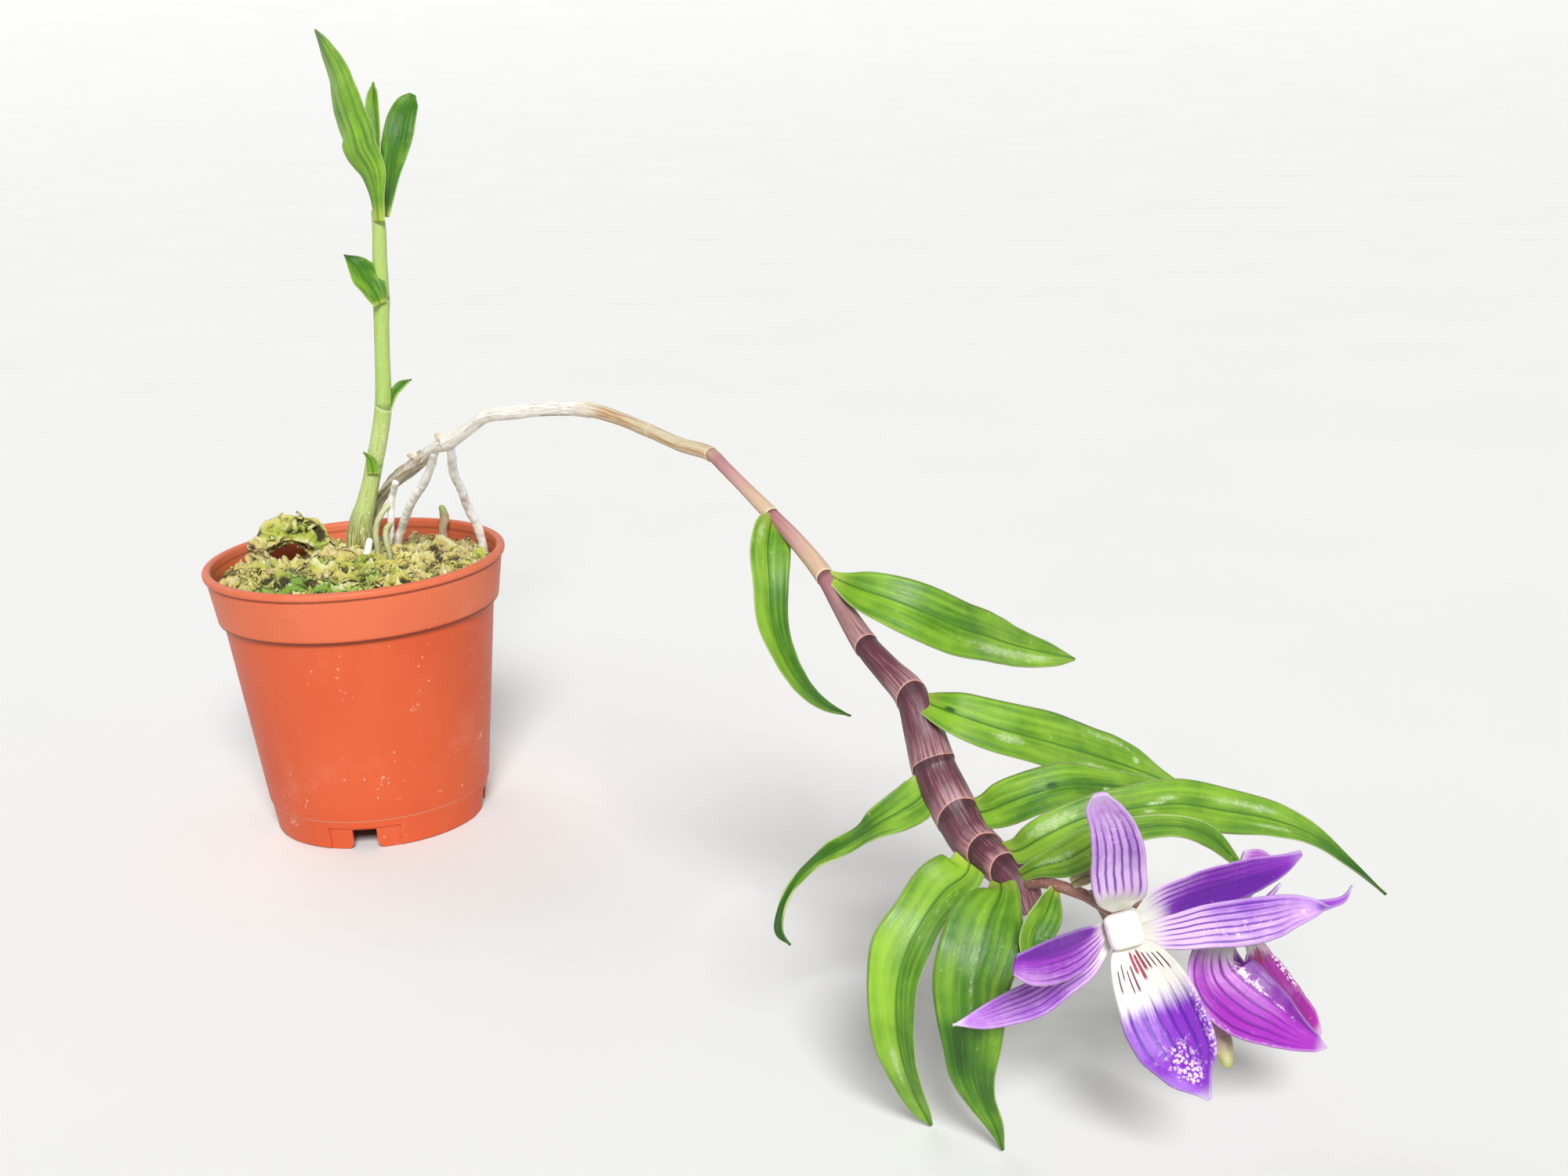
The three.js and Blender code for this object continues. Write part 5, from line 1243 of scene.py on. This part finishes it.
def young_cane_finish(green):
    """Young cane: pale green with whitish specks and grey-green streaks, tan papery strips on its bulb, and
    painted shadow where each sheath comes out of the mouth below it."""
    cane = Finish("young_cane_skin", Specular_IOR_Level=0.45)
    length, share, rim, around, aside = cane.attributes("length", "share", "rim", "around", "aside")
    streak = cane.noise(5, 4, 0.6, cane.vector(around, aside, length * 0.03))
    lines = cane.noise(15, 3, 0.6, cane.vector(around, aside, length * 0.012))
    specks = cane.cells(1300).step(0.4, 0.15) * cane.noise(400, 2).step(0.42, 0.6)
    skin = cane.mix(green, 0x93AE58, (streak + (lines - 0.5) * 0.5).step(0.45, 0.75) * 0.7)
    skin = cane.mix(skin, 0xF4F7DA, specks * 0.6)
    skin = cane.mix(skin, 0xA4CC58, length.step(30, 36) * 0.5)
    fibre = (lines + (streak - 0.5) * 0.6).step(0.42, 0.6) * (length + (streak - 0.5) * 14).step(15, 9)
    strips = cane.mix(0x9C7444, 0xD9C08C, lines.step(0.5, 0.8))
    skin = cane.mix(skin, strips, fibre)
    skin = cane.mix(skin, 0xE6E9C0, rim * 0.7)
    # Painted shadow just where a sheath leaves the mouth below it.
    skin = cane.mix(skin, 0x5F6B33, share.step(0.06, 0) * share.step(-0.3, 0) * 0.5)
    cane.bump(streak * 0.5 + lines * 0.8 + fibre, 0.00012)
    return cane.show(Base_Color=skin, Roughness=0.4 + specks * 0.2)


def root_finish(name, pale, dull, tip):
    """Root: a spongy white skin, dusty in patches, that turns to another colour at its end."""
    root = Finish(name, Specular_IOR_Level=0.25)
    length, share, around, aside = root.attributes("length", "share", "around", "aside")
    cloud = root.noise(180, 4, 0.6)
    lines = root.noise(4, 3, 0.6, root.vector(around, aside, length * 0.15))
    skin = root.mix(pale, dull, (cloud + (lines - 0.5) * 0.5).step(0.48, 0.75))
    skin = root.mix(skin, tip, share.step(0.75, 1.0) * 0.7)
    root.bump(root.noise(1100, 3) + lines, 0.0001)
    return root.show(Base_Color=skin, Roughness=0.62 + (cloud - 0.5) * 0.3)


def stalk_finish(name, first, second, third):
    """Stalk or bud: one colour at the foot, another halfway and a third at the end, with fine streaks."""
    stalk = Finish(name, Specular_IOR_Level=0.45)
    share, around, aside = stalk.attributes("share", "around", "aside")
    streak = stalk.noise(6, 3, 0.6, stalk.vector(around, aside, share * 1.5))
    specks = stalk.cells(1500).step(0.3, 0.15)
    skin = stalk.ramp(share + (streak - 0.5) * 0.3, [(0.0, first), (0.5, second), (1.0, third)])
    skin = stalk.mix(skin, 0xF2E2DC, specks * 0.35)
    stalk.bump(streak + specks * 0.3, 0.00008)
    return stalk.show(Base_Color=skin, Roughness=0.4 + (streak - 0.5) * 0.2)


def column_finish():
    """Column: creamy white and waxy, darker and yellow-green towards its foot as painted shade, with a faint
    violet flush.
    """
    column = Finish("flower_column", Specular_IOR_Level=0.5)
    share = column.attributes("share")[0]
    cloud = column.noise(400, 3)
    # Painted shade: darker and yellow-green towards the foot.
    skin = column.mix(0xD6D3A4, (0.84, 0.81, 0.74), share.step(0.3, 1.0))
    skin = column.mix(skin, 0xD9C4E0, cloud.step(0.5, 0.8) * 0.3)
    column.bump(cloud, 0.0001)
    return column.show(Base_Color=skin, Roughness=0.38 + (cloud - 0.5) * 0.2)


# The pot's and the moss's shapes

def rounded(corners, size):
    """The open line of [radius, height] corners with each inner corner rounded by a curve of five points."""
    corners = np.array(corners, float)
    made = [corners[:1]]
    for before, corner, after in zip(corners[:-2], corners[1:-1], corners[2:]):
        back, on = before - corner, after - corner
        reach = min(size, 0.45 * np.linalg.norm(back), 0.45 * np.linalg.norm(on))
        first, last = corner + unit(back) * reach, corner + unit(on) * reach
        w = np.linspace(0, 1, 5)[:, None]
        made.append((1 - w) ** 2 * first + 2 * w * (1 - w) * corner + w * w * last)
    return np.concatenate(made + [corners[-1:]])


def pot_profile():
    """The pot's outline as [radius, height]: out along its floor's underside, up its wall and back inside."""
    p = POT
    lip = p["height"] - p["lip_height"]
    band = p["rim_radius"] - p["lip_width"]
    floor = p["floor_bottom"] + p["floor_thickness"]
    return [
        [0.4, p["floor_bottom"]],
        [p["foot_radius"] - p["wall"], p["floor_bottom"]],
        [p["foot_radius"] - p["wall"] - 0.1, 0],
        [p["foot_radius"] - 0.2, 0],
        [p["foot_radius"], 0.3],
        [p["foot_top_radius"], p["foot_top"]],
        [p["wall_bottom_radius"], p["foot_top"] + 0.25],
        [p["wall_top_radius"], p["band_bottom"] + 0.2],
        [p["band_bottom_radius"] - 0.2, p["band_bottom"] - 0.1],
        [p["band_bottom_radius"], p["band_bottom"] + 0.2],
        [band, lip - 0.5],
        [band - 0.1, lip],
        [p["rim_radius"], lip + 0.3],
        [p["rim_radius"], p["height"] - 0.4],
        [p["rim_radius"] - 0.4, p["height"]],
        [band - p["wall"] + 0.3, p["height"]],
        [band - p["wall"], p["height"] - 0.4],
        [p["band_bottom_radius"] - p["wall"], p["band_bottom"] + 1.5],
        [p["wall_top_radius"] - p["wall"], p["band_bottom"]],
        [p["wall_bottom_radius"] - p["wall"], floor + 0.6],
        [p["wall_bottom_radius"] - p["wall"] - 0.6, floor],
        [0.4, floor],
    ]


def pot_cutters():
    """What is cut from the pot: four arched notches in its foot, a shallow panel around each, and four drain
    holes in its floor."""
    half, corner = NOTCH["width"] / 2, NOTCH["corner"]
    bend = np.linspace(0, np.pi / 2, 9)
    flare = np.stack([half + corner - corner * np.sin(bend), corner - corner * np.cos(bend)], axis=-1)
    right = np.concatenate([[[half + corner, -9]], flare, [[half, POT["floor_bottom"]]]])
    outline = np.concatenate([right, right[::-1] * [-1, 1]])
    depths = -POT["foot_radius"] + np.array([[-2], [4]])
    notch = np.stack(np.broadcast_arrays(outline[:, 0], depths, outline[:, 1]), axis=-1)

    inner = POT["foot_radius"] - NOTCH["panel_depth"]
    top = NOTCH["panel_top"]
    rise = (POT["foot_top_radius"] - POT["foot_radius"]) * top / POT["foot_top"]
    section = np.array([[inner, -1], [inner + 4, -1], [inner + 4, top], [inner + rise, top], [inner, 0]])
    reach = math.asin(NOTCH["panel_width"] / 2 / POT["foot_radius"])
    angle = np.linspace(-reach, reach, 25)[:, None] - math.pi / 2
    panel = turned(section[:, 0], angle, section[:, 1])

    heights = POT["floor_bottom"] + np.array([[-2], [3]])
    hole = turned(DRAIN_HOLE["radius"], circle(32), heights) - [0, DRAIN_HOLE["distance"], 0]
    turns = [Matrix.Rotation(2 * math.pi * i / NOTCH["count"], 3, "Z") for i in range(NOTCH["count"])]
    return [shell(cutter @ np.array(turn).T, {"height": cutter[..., 2]})
            for turn in turns for cutter in (notch, panel, hole)]


def moss_height(x, y):
    """The level of the moss: two slow waves, and its lumps and dips."""
    lumps = np.sin(0.55 * x + 1.3 * np.sin(0.31 * y)) * np.cos(0.5 * y - 0.9 * np.sin(0.27 * x))
    waves = MOSS["lump"] * (lumps + 0.5 * np.sin(1.1 * x - 0.7 * y))
    return MOSS["level"] + waves + mounds(MOSS_SPOTS, x, y)


def folds(places):
    """Folded, crumpled matter from 0 to 1: ridged noise read at places that are first pushed about by smooth
    noise, with a finer crumple on it. Creases come out near 0."""
    push = np.stack([grain(places / 3.6, seed) for seed in (11, 12, 13)], axis=-1)
    moved = places + 2.2 * push
    return 0.6 * crumple(moved / 5.2, 2, 3) ** 1.3 + 0.4 * crumple(moved * [1, 1, 0.7] / 2.1, 3, 7) ** 1.4


def moss_bed():
    """The bed as a closed shell: a floor, a wall inside the pot's, and a top whose height adds folds to the
    level of the moss. Its shade field is highest in the creases, where the finish paints shade, and low on the
    ridges, where it paints highlights."""
    m = MOSS
    below = [3, m["bottom_radius"], m["shoulder_radius"]]
    radius = np.concatenate([below, np.linspace(m["radius"], 0.3, 150)])[:, None]
    loops = turned(radius, circle(320), 0.0)
    detail = folds(loops)
    fade = np.clip((m["radius"] + 0.2 - radius) / 1.5, 0, 1)
    folded = (m["fold"] * detail - m["sunk"]) * fade - m["rim_drop"] * (1 - fade)
    loops[..., 2] = moss_height(loops[..., 0], loops[..., 1]) + folded
    loops[:3, :, 2] = np.array([[m["bottom"]], [m["bottom"]], [m["shoulder"]]])
    return shell(loops, {"hue": moss_hue(loops), "depth": 1.55 - 2.6 * detail})


def moss_clump():
    """The clump over the hollow: a rope whose radius swells by folds."""
    path = np.array(CLUMP, float)
    places = np.linspace(0, len(path) - 1, 110)[:, None]
    radius = np.interp(places, np.arange(len(path)), path[:, 3])
    loops, rim = rings(path[:, :3], places, radius, circle(72), [0, 0, 1])
    detail = folds(loops * 1.2 + 40)
    loops = loops + rim * (2.6 * detail - 1.2)[..., None]
    return shell(loops, {"hue": moss_hue(loops), "depth": 1.5 - 2.4 * detail})


def moss_hue(places):
    """How green the moss is at each place: smooth noise, with greener lumps at the front and a tan part at
    the back."""
    return 0.5 + 0.34 * grain(places / 4.5, 5) + mounds(MOSS_GREEN, places[..., 0], places[..., 1])


def moss_flakes(count):
    """Loose scraps on the bed and the clump, each with its own place, heading, size, twist and hue."""
    dice = np.random.default_rng(7)
    on_clump = (np.arange(count) < count // 8)[:, None]
    away = 27 * np.sqrt(dice.random(count))
    angle = 2 * np.pi * dice.random(count)
    foot = turned(away, angle, 0.0)
    lying = MOSS["fold"] * folds(foot) - MOSS["sunk"] + SCRAP["over"]
    foot[:, 2] = moss_height(foot[:, 0], foot[:, 1]) + lying
    path = np.array(CLUMP, float)
    places = 1 + (len(path) - 3) * dice.random(count)
    radius = np.interp(places, np.arange(len(path)), path[:, 3]) * 0.95
    rope, rim = rings(path[:, :3], places, radius, 2 * np.pi * dice.random(count), [0, 0, 1])
    foot = np.where(on_clump, rope, foot)
    out = unit(np.where(on_clump, rim, [0, 0, 1]) + SCRAP["tilt"] * dice.normal(size=(count, 3)))
    run = upright(dice.normal(size=(count, 3)), out)
    (shortest, longer), (narrowest, wider) = SCRAP["length"], SCRAP["width"]
    length = shortest + longer * dice.random(count) ** 1.8
    length = length * np.where(away > SCRAP["edge"], SCRAP["shorter"], 1)
    width = narrowest + wider * dice.random(count) ** 1.8
    curl = SCRAP["curl"] * dice.normal(size=count)
    twist = SCRAP["twist"] * dice.normal(size=count)
    loops = scrap_loops(foot, out, run, length, width, curl, twist)
    points, quads, fans, _ = shell(loops[0], {})
    size = len(points)
    points = np.concatenate([loops.reshape(count, -1, 3), loops[:, [0, -1]].mean(axis=2)], axis=1)
    shift = np.arange(count)[:, None, None] * size
    hue = moss_hue(foot) + 0.16 * dice.normal(size=count)
    # How much painted shade each scrap gets, at random.
    depth = 0.25 - 0.5 * dice.random(count)
    fields = {"hue": np.repeat(hue, size), "depth": np.repeat(depth, size)}
    return points.reshape(-1, 3), (quads + shift).reshape(-1, 4), (fans + shift).reshape(-1, 3), fields


def scrap_loops(foot, out, run, length, width, curl, twist):
    """The loops of four points of every scrap: a strip about its foot that runs one way and bends by its curl
    towards the way out, with a section that turns by its twist, is widest halfway and sags at its edges."""
    across = np.cross(out, run)
    w = np.linspace(-1, 1, SCRAP["loops"])
    shape = np.sqrt(1 - 0.92 * w * w)
    bend = curl[:, None] * w
    step = np.stack([np.cos(bend), np.sin(bend)], axis=-1)
    walked = np.cumsum(step, axis=1) * (length / SCRAP["loops"])[:, None, None]
    walked -= walked.mean(axis=1, keepdims=True)
    spine = foot[:, None] + run[:, None] * walked[..., :1] + out[:, None] * walked[..., 1:]
    turn = (twist[:, None] * w)[..., None]
    lift = unit(out[:, None] * step[..., :1] - run[:, None] * step[..., 1:])
    broad = across[:, None] * np.cos(turn) + lift * np.sin(turn)
    broad = broad * (width[:, None] * shape / 2)[..., None]
    thick = (lift * np.cos(turn) - across[:, None] * np.sin(turn)) * SCRAP["thickness"]
    sag = thick * SCRAP["sag"]
    return np.stack([spine - broad + sag, spine - thick, spine + broad + sag, spine + thick], axis=2)


# The pieces

class AddPot(bpy.types.Operator):
    """Add the pot"""

    bl_idname = "orchid.add_pot"
    bl_label = "Pot"

    def execute(self, context):
        settings = context.scene.orchid_pot
        profile = rounded(pot_profile(), 0.3)
        loops = turned(profile[:, :1], circle(settings.facets), profile[:, 1:])
        made = piece("nursery_pot", shell(loops, {"height": loops[..., 2]}), ["pot"],
                     pot_finish(tuple(settings.colour)))
        helpers = []
        for number, (points, quads, fans, _) in enumerate(pot_cutters()):
            cutter = place_shell(f"cutter_{number}", points, quads, fans)
            helpers.append(cutter)
            cut = made.modifiers.new(cutter.name, "BOOLEAN")
            cut.operation, cut.solver, cut.object = "DIFFERENCE", "MANIFOLD", cutter
        context.view_layer.update()
        carved = bpy.data.meshes.new_from_object(made.evaluated_get(context.evaluated_depsgraph_get()))
        made.modifiers.clear()
        made.data = carved
        for cutter in helpers:
            bpy.data.objects.remove(cutter)
        carved.shade_smooth()
        carved.set_sharp_from_angle(angle=math.radians(35))
        return {"FINISHED"}


class AddMoss(bpy.types.Operator):
    """Add the bed of moss with its clump and its loose scraps"""

    bl_idname = "orchid.add_moss"
    bl_label = "Moss"

    def execute(self, context):
        settings = context.scene.orchid_moss
        finish = moss_finish(tuple(settings.dry), tuple(settings.green))
        bed = join([moss_bed(), moss_clump()])
        piece("moss_layers", bed, ["moss_bed"], finish)
        if settings.flakes:
            piece("moss_scraps", moss_flakes(settings.flakes), ["moss_bed"], finish)
        return {"FINISHED"}


class AddYoungShoot(bpy.types.Operator):
    """Add the young cane with its leaves"""

    bl_idname = "orchid.add_young_shoot"
    bl_label = "Young Shoot"

    def execute(self, context):
        def looks(length, share, angle):
            return {**ring_fields(length, share, angle), "swell": 0.035 * bark(length, angle, 2, 9, 4)}

        cane = sheaths(YOUNG_CANE, YOUNG_SIDE, 48, [0.8, -0.5, 0.2], ([0], [0.4]), looks)
        piece("young_cane_sheaths", cane, ["young_cane"],
              young_cane_finish(tuple(context.scene.orchid_cane.green)))
        leaf = context.scene.orchid_leaf
        finish = leaf_finish("young_leaf_blade", tuple(leaf.light), tuple(leaf.dark), 0.1, 0x47700F)
        for name, shape in YOUNG_LEAVES.items():
            made = blade(**shape, thickness=leaf.thickness / MM, ruffle=0.04)
            piece(f"{name}_blade", made, [name], finish)
        return {"FINISHED"}


class AddOldCane(bpy.types.Operator):
    """Add the old cane that arches over the rim"""

    bl_idname = "orchid.add_old_cane"
    bl_label = "Old Cane"

    def execute(self, context):
        settings = context.scene.orchid_cane
        points = np.array([point[:3] for point in OLD_CANE])
        places, walked = walk(points)

        def looks(length, share, angle):
            place = np.interp(length, walked, places)
            zones = {name: np.clip((place - start) / span, 0, 1) for name, (start, span) in ZONES.items()}
            wrinkles = 0.07 * zones.pop("dry") * bark(length, angle, 4, 3, 6)
            swell = 0.04 * bark(length, angle, 2, 7, 4) + wrinkles
            return {**ring_fields(length, share, angle), **zones, "swell": swell}

        cane = sheaths(OLD_CANE, OLD_SIDE, 48, [0.1, -0.9, 0.35], ([11, 16], [0.25, 1]), looks)
        fibres = [self.fibre(points, walked, places, turn) for turn in (0.4, 2.2, 3.9)]
        knobs = [self.knob(points, 4, 0.55, 2.4), self.knob(points, 6, 0.8, 2.2)]
        piece("old_cane_sheaths", join([cane, *fibres, *knobs]), ["old_cane"],
              old_cane_finish(tuple(settings.papery), tuple(settings.purple)))
        return {"FINISHED"}

    def fibre(self, points, walked, places, turn):
        """A dry strand of an old sheath that follows the cane out of the moss, a little off to one side."""
        at = np.linspace(0.7, 4.3, 9)
        path, _ = rings(points, at, 1.25 + 0.25 * np.sin(3 * at + turn), turn + 0.4 * at, OLD_SIDE)
        shape = stem(np.column_stack([path, np.full(9, 0.3)]), [0, 0, 1], 8, 0.8, 0.25, 5)
        return self.dressed(shape, np.interp(at.mean(), places, walked) + 3 * turn, fibrous=1)

    def knob(self, points, place, size, turn):
        """A dry bud at a joint, as an egg-shaped stub that points up along the cane."""
        place = np.array([place])
        foot, out = rings(points, place, 0.9, np.array([turn]), OLD_SIDE)
        back = heading(points, place)[0]
        path = [[*(foot[0] + out[0] * w * 1.1 - back * w * 1.2), size * r]
                for w, r in ((-0.3, 1), (0.4, 1.1), (1, 0.9), (1.4, 0.6))]
        shape = stem(path, [0, 0, 1], 14, 0.25, 0.2, 8)
        return self.dressed(shape, 30, beige=shape[3]["share"])

    def dressed(self, shape, length, **given):
        """A stem's shell with the cane's fields: the one length all over, and 0 where a field isn't given."""
        points, quads, fans, fields = shape
        zeros = np.zeros(len(points))
        plain = {name: zeros + given.get(name, 0) for name in ("beige", "blush", "plum", "fibrous", "rim")}
        return points, quads, fans, {**fields, **plain, "length": zeros + length, "share": zeros + 0.5}


class AddRoots(bpy.types.Operator):
    """Add the roots and the dead stub"""

    bl_idname = "orchid.add_roots"
    bl_label = "Roots"

    def execute(self, context):
        finishes = {
            "root": root_finish("root_skin", (0.88, 0.86, 0.82), 0xE2DACA, 0xE0D3B2),
            "green_root": root_finish("green_root_skin", 0xD5D9A8, 0xA9B56E, 0xB7AE78),
            "stub": root_finish("stub_skin", 0xD9C5A0, 0xB08F62, 0x9DBB5A),
        }
        for number, (name, root) in enumerate(ROOTS.items()):
            finish = root.get("finish", "root")
            made = limb(root["points"], root["radius"], 0.4, 0.16, number)
            piece(f"{name}_skin", made, [name], finishes[finish])
        return {"FINISHED"}


class AddOldLeaves(bpy.types.Operator):
    """Add the ten leaves of the old cane"""

    bl_idname = "orchid.add_old_leaves"
    bl_label = "Old Leaves"

    def execute(self, context):
        leaf = context.scene.orchid_leaf
        finish = leaf_finish("old_leaf_blade", tuple(leaf.light), tuple(leaf.dark))
        for name, shape in OLD_LEAVES.items():
            made = blade(**shape, thickness=leaf.thickness / MM, ruffle=0.05)
            piece(f"{name}_blade", made, [name], finish)
        return {"FINISHED"}


class AddStalk(bpy.types.Operator):
    """Add the flower stalk with its bract and bud"""

    bl_idname = "orchid.add_stalk"
    bl_label = "Flower Stalk"

    def execute(self, context):
        finish = stalk_finish("stalk_skin", 0x8A5A4E, 0xA87468, 0xC9A79A)
        stems = [limb(**branch, step=0.35, wobble=0.06, seed=number)
                 for number, branch in enumerate(STALK_STEMS)]
        piece("flower_stalk_stems", join(stems), ["flower_stalk"], finish)
        bract = blade(**STALK_BRACT, thickness=0.5)
        piece("flower_stalk_bract_blade", bract, ["flower_stalk_bract"],
              leaf_finish("bract_blade", 0xD9C9A0, 0xA5845C, 0.1))
        bud = stem(BUD, STEM_SIDE, 28, 0.3, 0.03, 3)
        piece("flower_bud_skin", bud, ["flower_bud"],
              stalk_finish("bud_skin", 0xC99AC4, 0xD58FC0, 0xB9C46A))
        return {"FINISHED"}


class AddFlowers(bpy.types.Operator):
    """Add the two open flowers"""

    bl_idname = "orchid.add_flowers"
    bl_label = "Flowers"

    def execute(self, context):
        settings = context.scene.orchid_flower
        lilac, violet = tuple(settings.lilac), tuple(settings.violet)
        waxy = column_finish()
        for flower, parts in FLOWERS.items():
            for part, shape in parts.items():
                name = f"{flower}_{part}"
                if part == "column":
                    piece(f"{name}_body", column(**shape), [name], waxy)
                    continue
                shape = {"fold": 0, "cup": 0.2, **shape}
                finish = petal_finish(
                    f"{name}_finish", lilac, violet, **shape.pop("finish"), lip=part == "lip")
                made = blade(**shape, thickness=settings.thickness / MM, ruffle=0.05)
                slot = next(kind for kind in ("sepal", "petal", "lip") if kind in part)
                piece(f"{name}_blade", made, [name], finish)
        return {"FINISHED"}


def column(base, towards):
    """A column as a closed shell: its profile along its axis, with loops between a circle and a square, where
    the distance out is (|cos|ⁿ + |sin|ⁿ) to the power -1/n over its mean."""
    profile = rounded(COLUMN["profile"], COLUMN["round"])
    axis = unit(np.array(towards, float) - base)
    first = upright(np.array([1, 0, 0.25]), axis)
    second = np.cross(axis, first)
    angle, power = circle(64), COLUMN["square"]
    square = (np.abs(np.cos(angle)) ** power + np.abs(np.sin(angle)) ** power) ** (-1 / power)
    out = (first * np.cos(angle)[:, None] + second * np.sin(angle)[:, None])
    out = out * COLUMN["width"] * (square / square.mean())[:, None]
    loops = np.array(base) + axis * profile[:, 1:, None] + out * profile[:, :1, None]
    return shell(loops, {"share": profile[:, 1:] / COLUMN["length"]})


class AddStage(bpy.types.Operator):
    """Add the floor, the soft light and the camera of the photo's view"""

    bl_idname = "orchid.add_stage"
    bl_label = "Stage"

    def execute(self, context):
        settings = context.scene.orchid_stage
        points, faces = self.sweep()
        mesh = bpy.data.meshes.new("floor")
        mesh.from_pydata(points, [], faces)
        mesh.shade_smooth()
        floor = bpy.data.objects.new("floor", mesh)
        context.scene.collection.objects.link(floor)
        card = Finish("floor_card", Roughness=0.8, Specular_IOR_Level=0.2)
        shade = card.mix(tuple(settings.floor), 0xF9F9F7, card.noise(12, 2))
        mesh.materials.append(card.show(Base_Color=shade))

        world = bpy.data.worlds.new("studio")
        world.use_nodes = True
        sky = world.node_tree.nodes["Background"]
        sky.inputs["Color"].default_value = (1, 1, 1, 1)
        sky.inputs["Strength"].default_value = settings.sky
        context.scene.world = world

        self.light("key_light", [0.11, -0.79, 0.6], 20, settings.light)
        self.light("back_light", [-0.5, 0.6, 0.62], 40, settings.light * 0.15)

        data = bpy.data.cameras.new("photo_camera")
        data.sensor_width, data.lens = CAMERA["sensor"], CAMERA["lens"]
        data.clip_start, data.clip_end = 0.01, 100
        camera = bpy.data.objects.new("photo_camera", data)
        right, up = CAMERA["right"], CAMERA["up"]
        turn = Matrix(np.stack([right, up, np.cross(right, up)], axis=-1)).to_4x4()
        place = FOOT + np.array(CAMERA["place"]) * MM
        camera.matrix_world = Matrix.Translation(place) @ turn
        context.scene.collection.objects.link(camera)
        context.scene.camera = camera
        context.scene.view_settings.view_transform = "Standard"
        return {"FINISHED"}

    def sweep(self):
        """The floor's points and faces: rings about the middle, level at first and then rising by the squared
        distance from there over the rise, so that no edge shows from any side."""
        radius = np.array([FLOOR["rings"]]).T
        height = np.clip(radius - FLOOR["level"], 0, None) ** 2 / FLOOR["rise"] - FLOOR["drop"]
        loops = turned(radius, circle(72), height)
        ring = np.arange(loops[..., 0].size).reshape(loops.shape[:2])
        after = np.roll(ring, -1, axis=1)
        quads = np.stack([ring[:-1], ring[1:], after[1:], after[:-1]], axis=-1).reshape(-1, 4)
        return loops.reshape(-1, 3), [ring[0].tolist(), *quads.tolist()]

    def light(self, name, towards, spread, strength):
        """A distant light that comes from the given direction, over a spread in degrees."""
        data = bpy.data.lights.new(name, "SUN")
        data.energy, data.angle = strength, math.radians(spread)
        light = bpy.data.objects.new(name, data)
        light.rotation_euler = (-Vector(towards)).to_track_quat("-Z", "Y").to_euler()
        bpy.context.scene.collection.objects.link(light)


class OrchidPanel(bpy.types.Panel):
    """The pieces of the orchid and their settings"""

    bl_idname = "VIEW3D_PT_orchid"
    bl_label = "Potted Orchid"
    bl_space_type = "VIEW_3D"
    bl_region_type = "UI"
    bl_category = "Orchid"

    def draw(self, context):
        for name, kind in SETTINGS.items():
            box = self.layout.box()
            for key in kind.__annotations__:
                box.prop(getattr(context.scene, name), key)
        for operator in OPERATORS:
            self.layout.operator(operator.bl_idname)


OPERATORS = [
    AddPot, AddMoss, AddYoungShoot, AddOldCane, AddRoots, AddOldLeaves, AddStalk, AddFlowers, AddStage,
]


def register():
    for kind in [*SETTINGS.values(), *OPERATORS, OrchidPanel]:
        bpy.utils.register_class(kind)
    for name, kind in SETTINGS.items():
        setattr(bpy.types.Scene, name, bpy.props.PointerProperty(type=kind))


def unregister():
    for name in SETTINGS:
        delattr(bpy.types.Scene, name)
    for kind in [*SETTINGS.values(), *OPERATORS, OrchidPanel]:
        bpy.utils.unregister_class(kind)


def main():
    register()
    for operator in OPERATORS:
        group, name = operator.bl_idname.split(".")
        getattr(getattr(bpy.ops, group), name)()


if __name__ == "__main__":
    main()
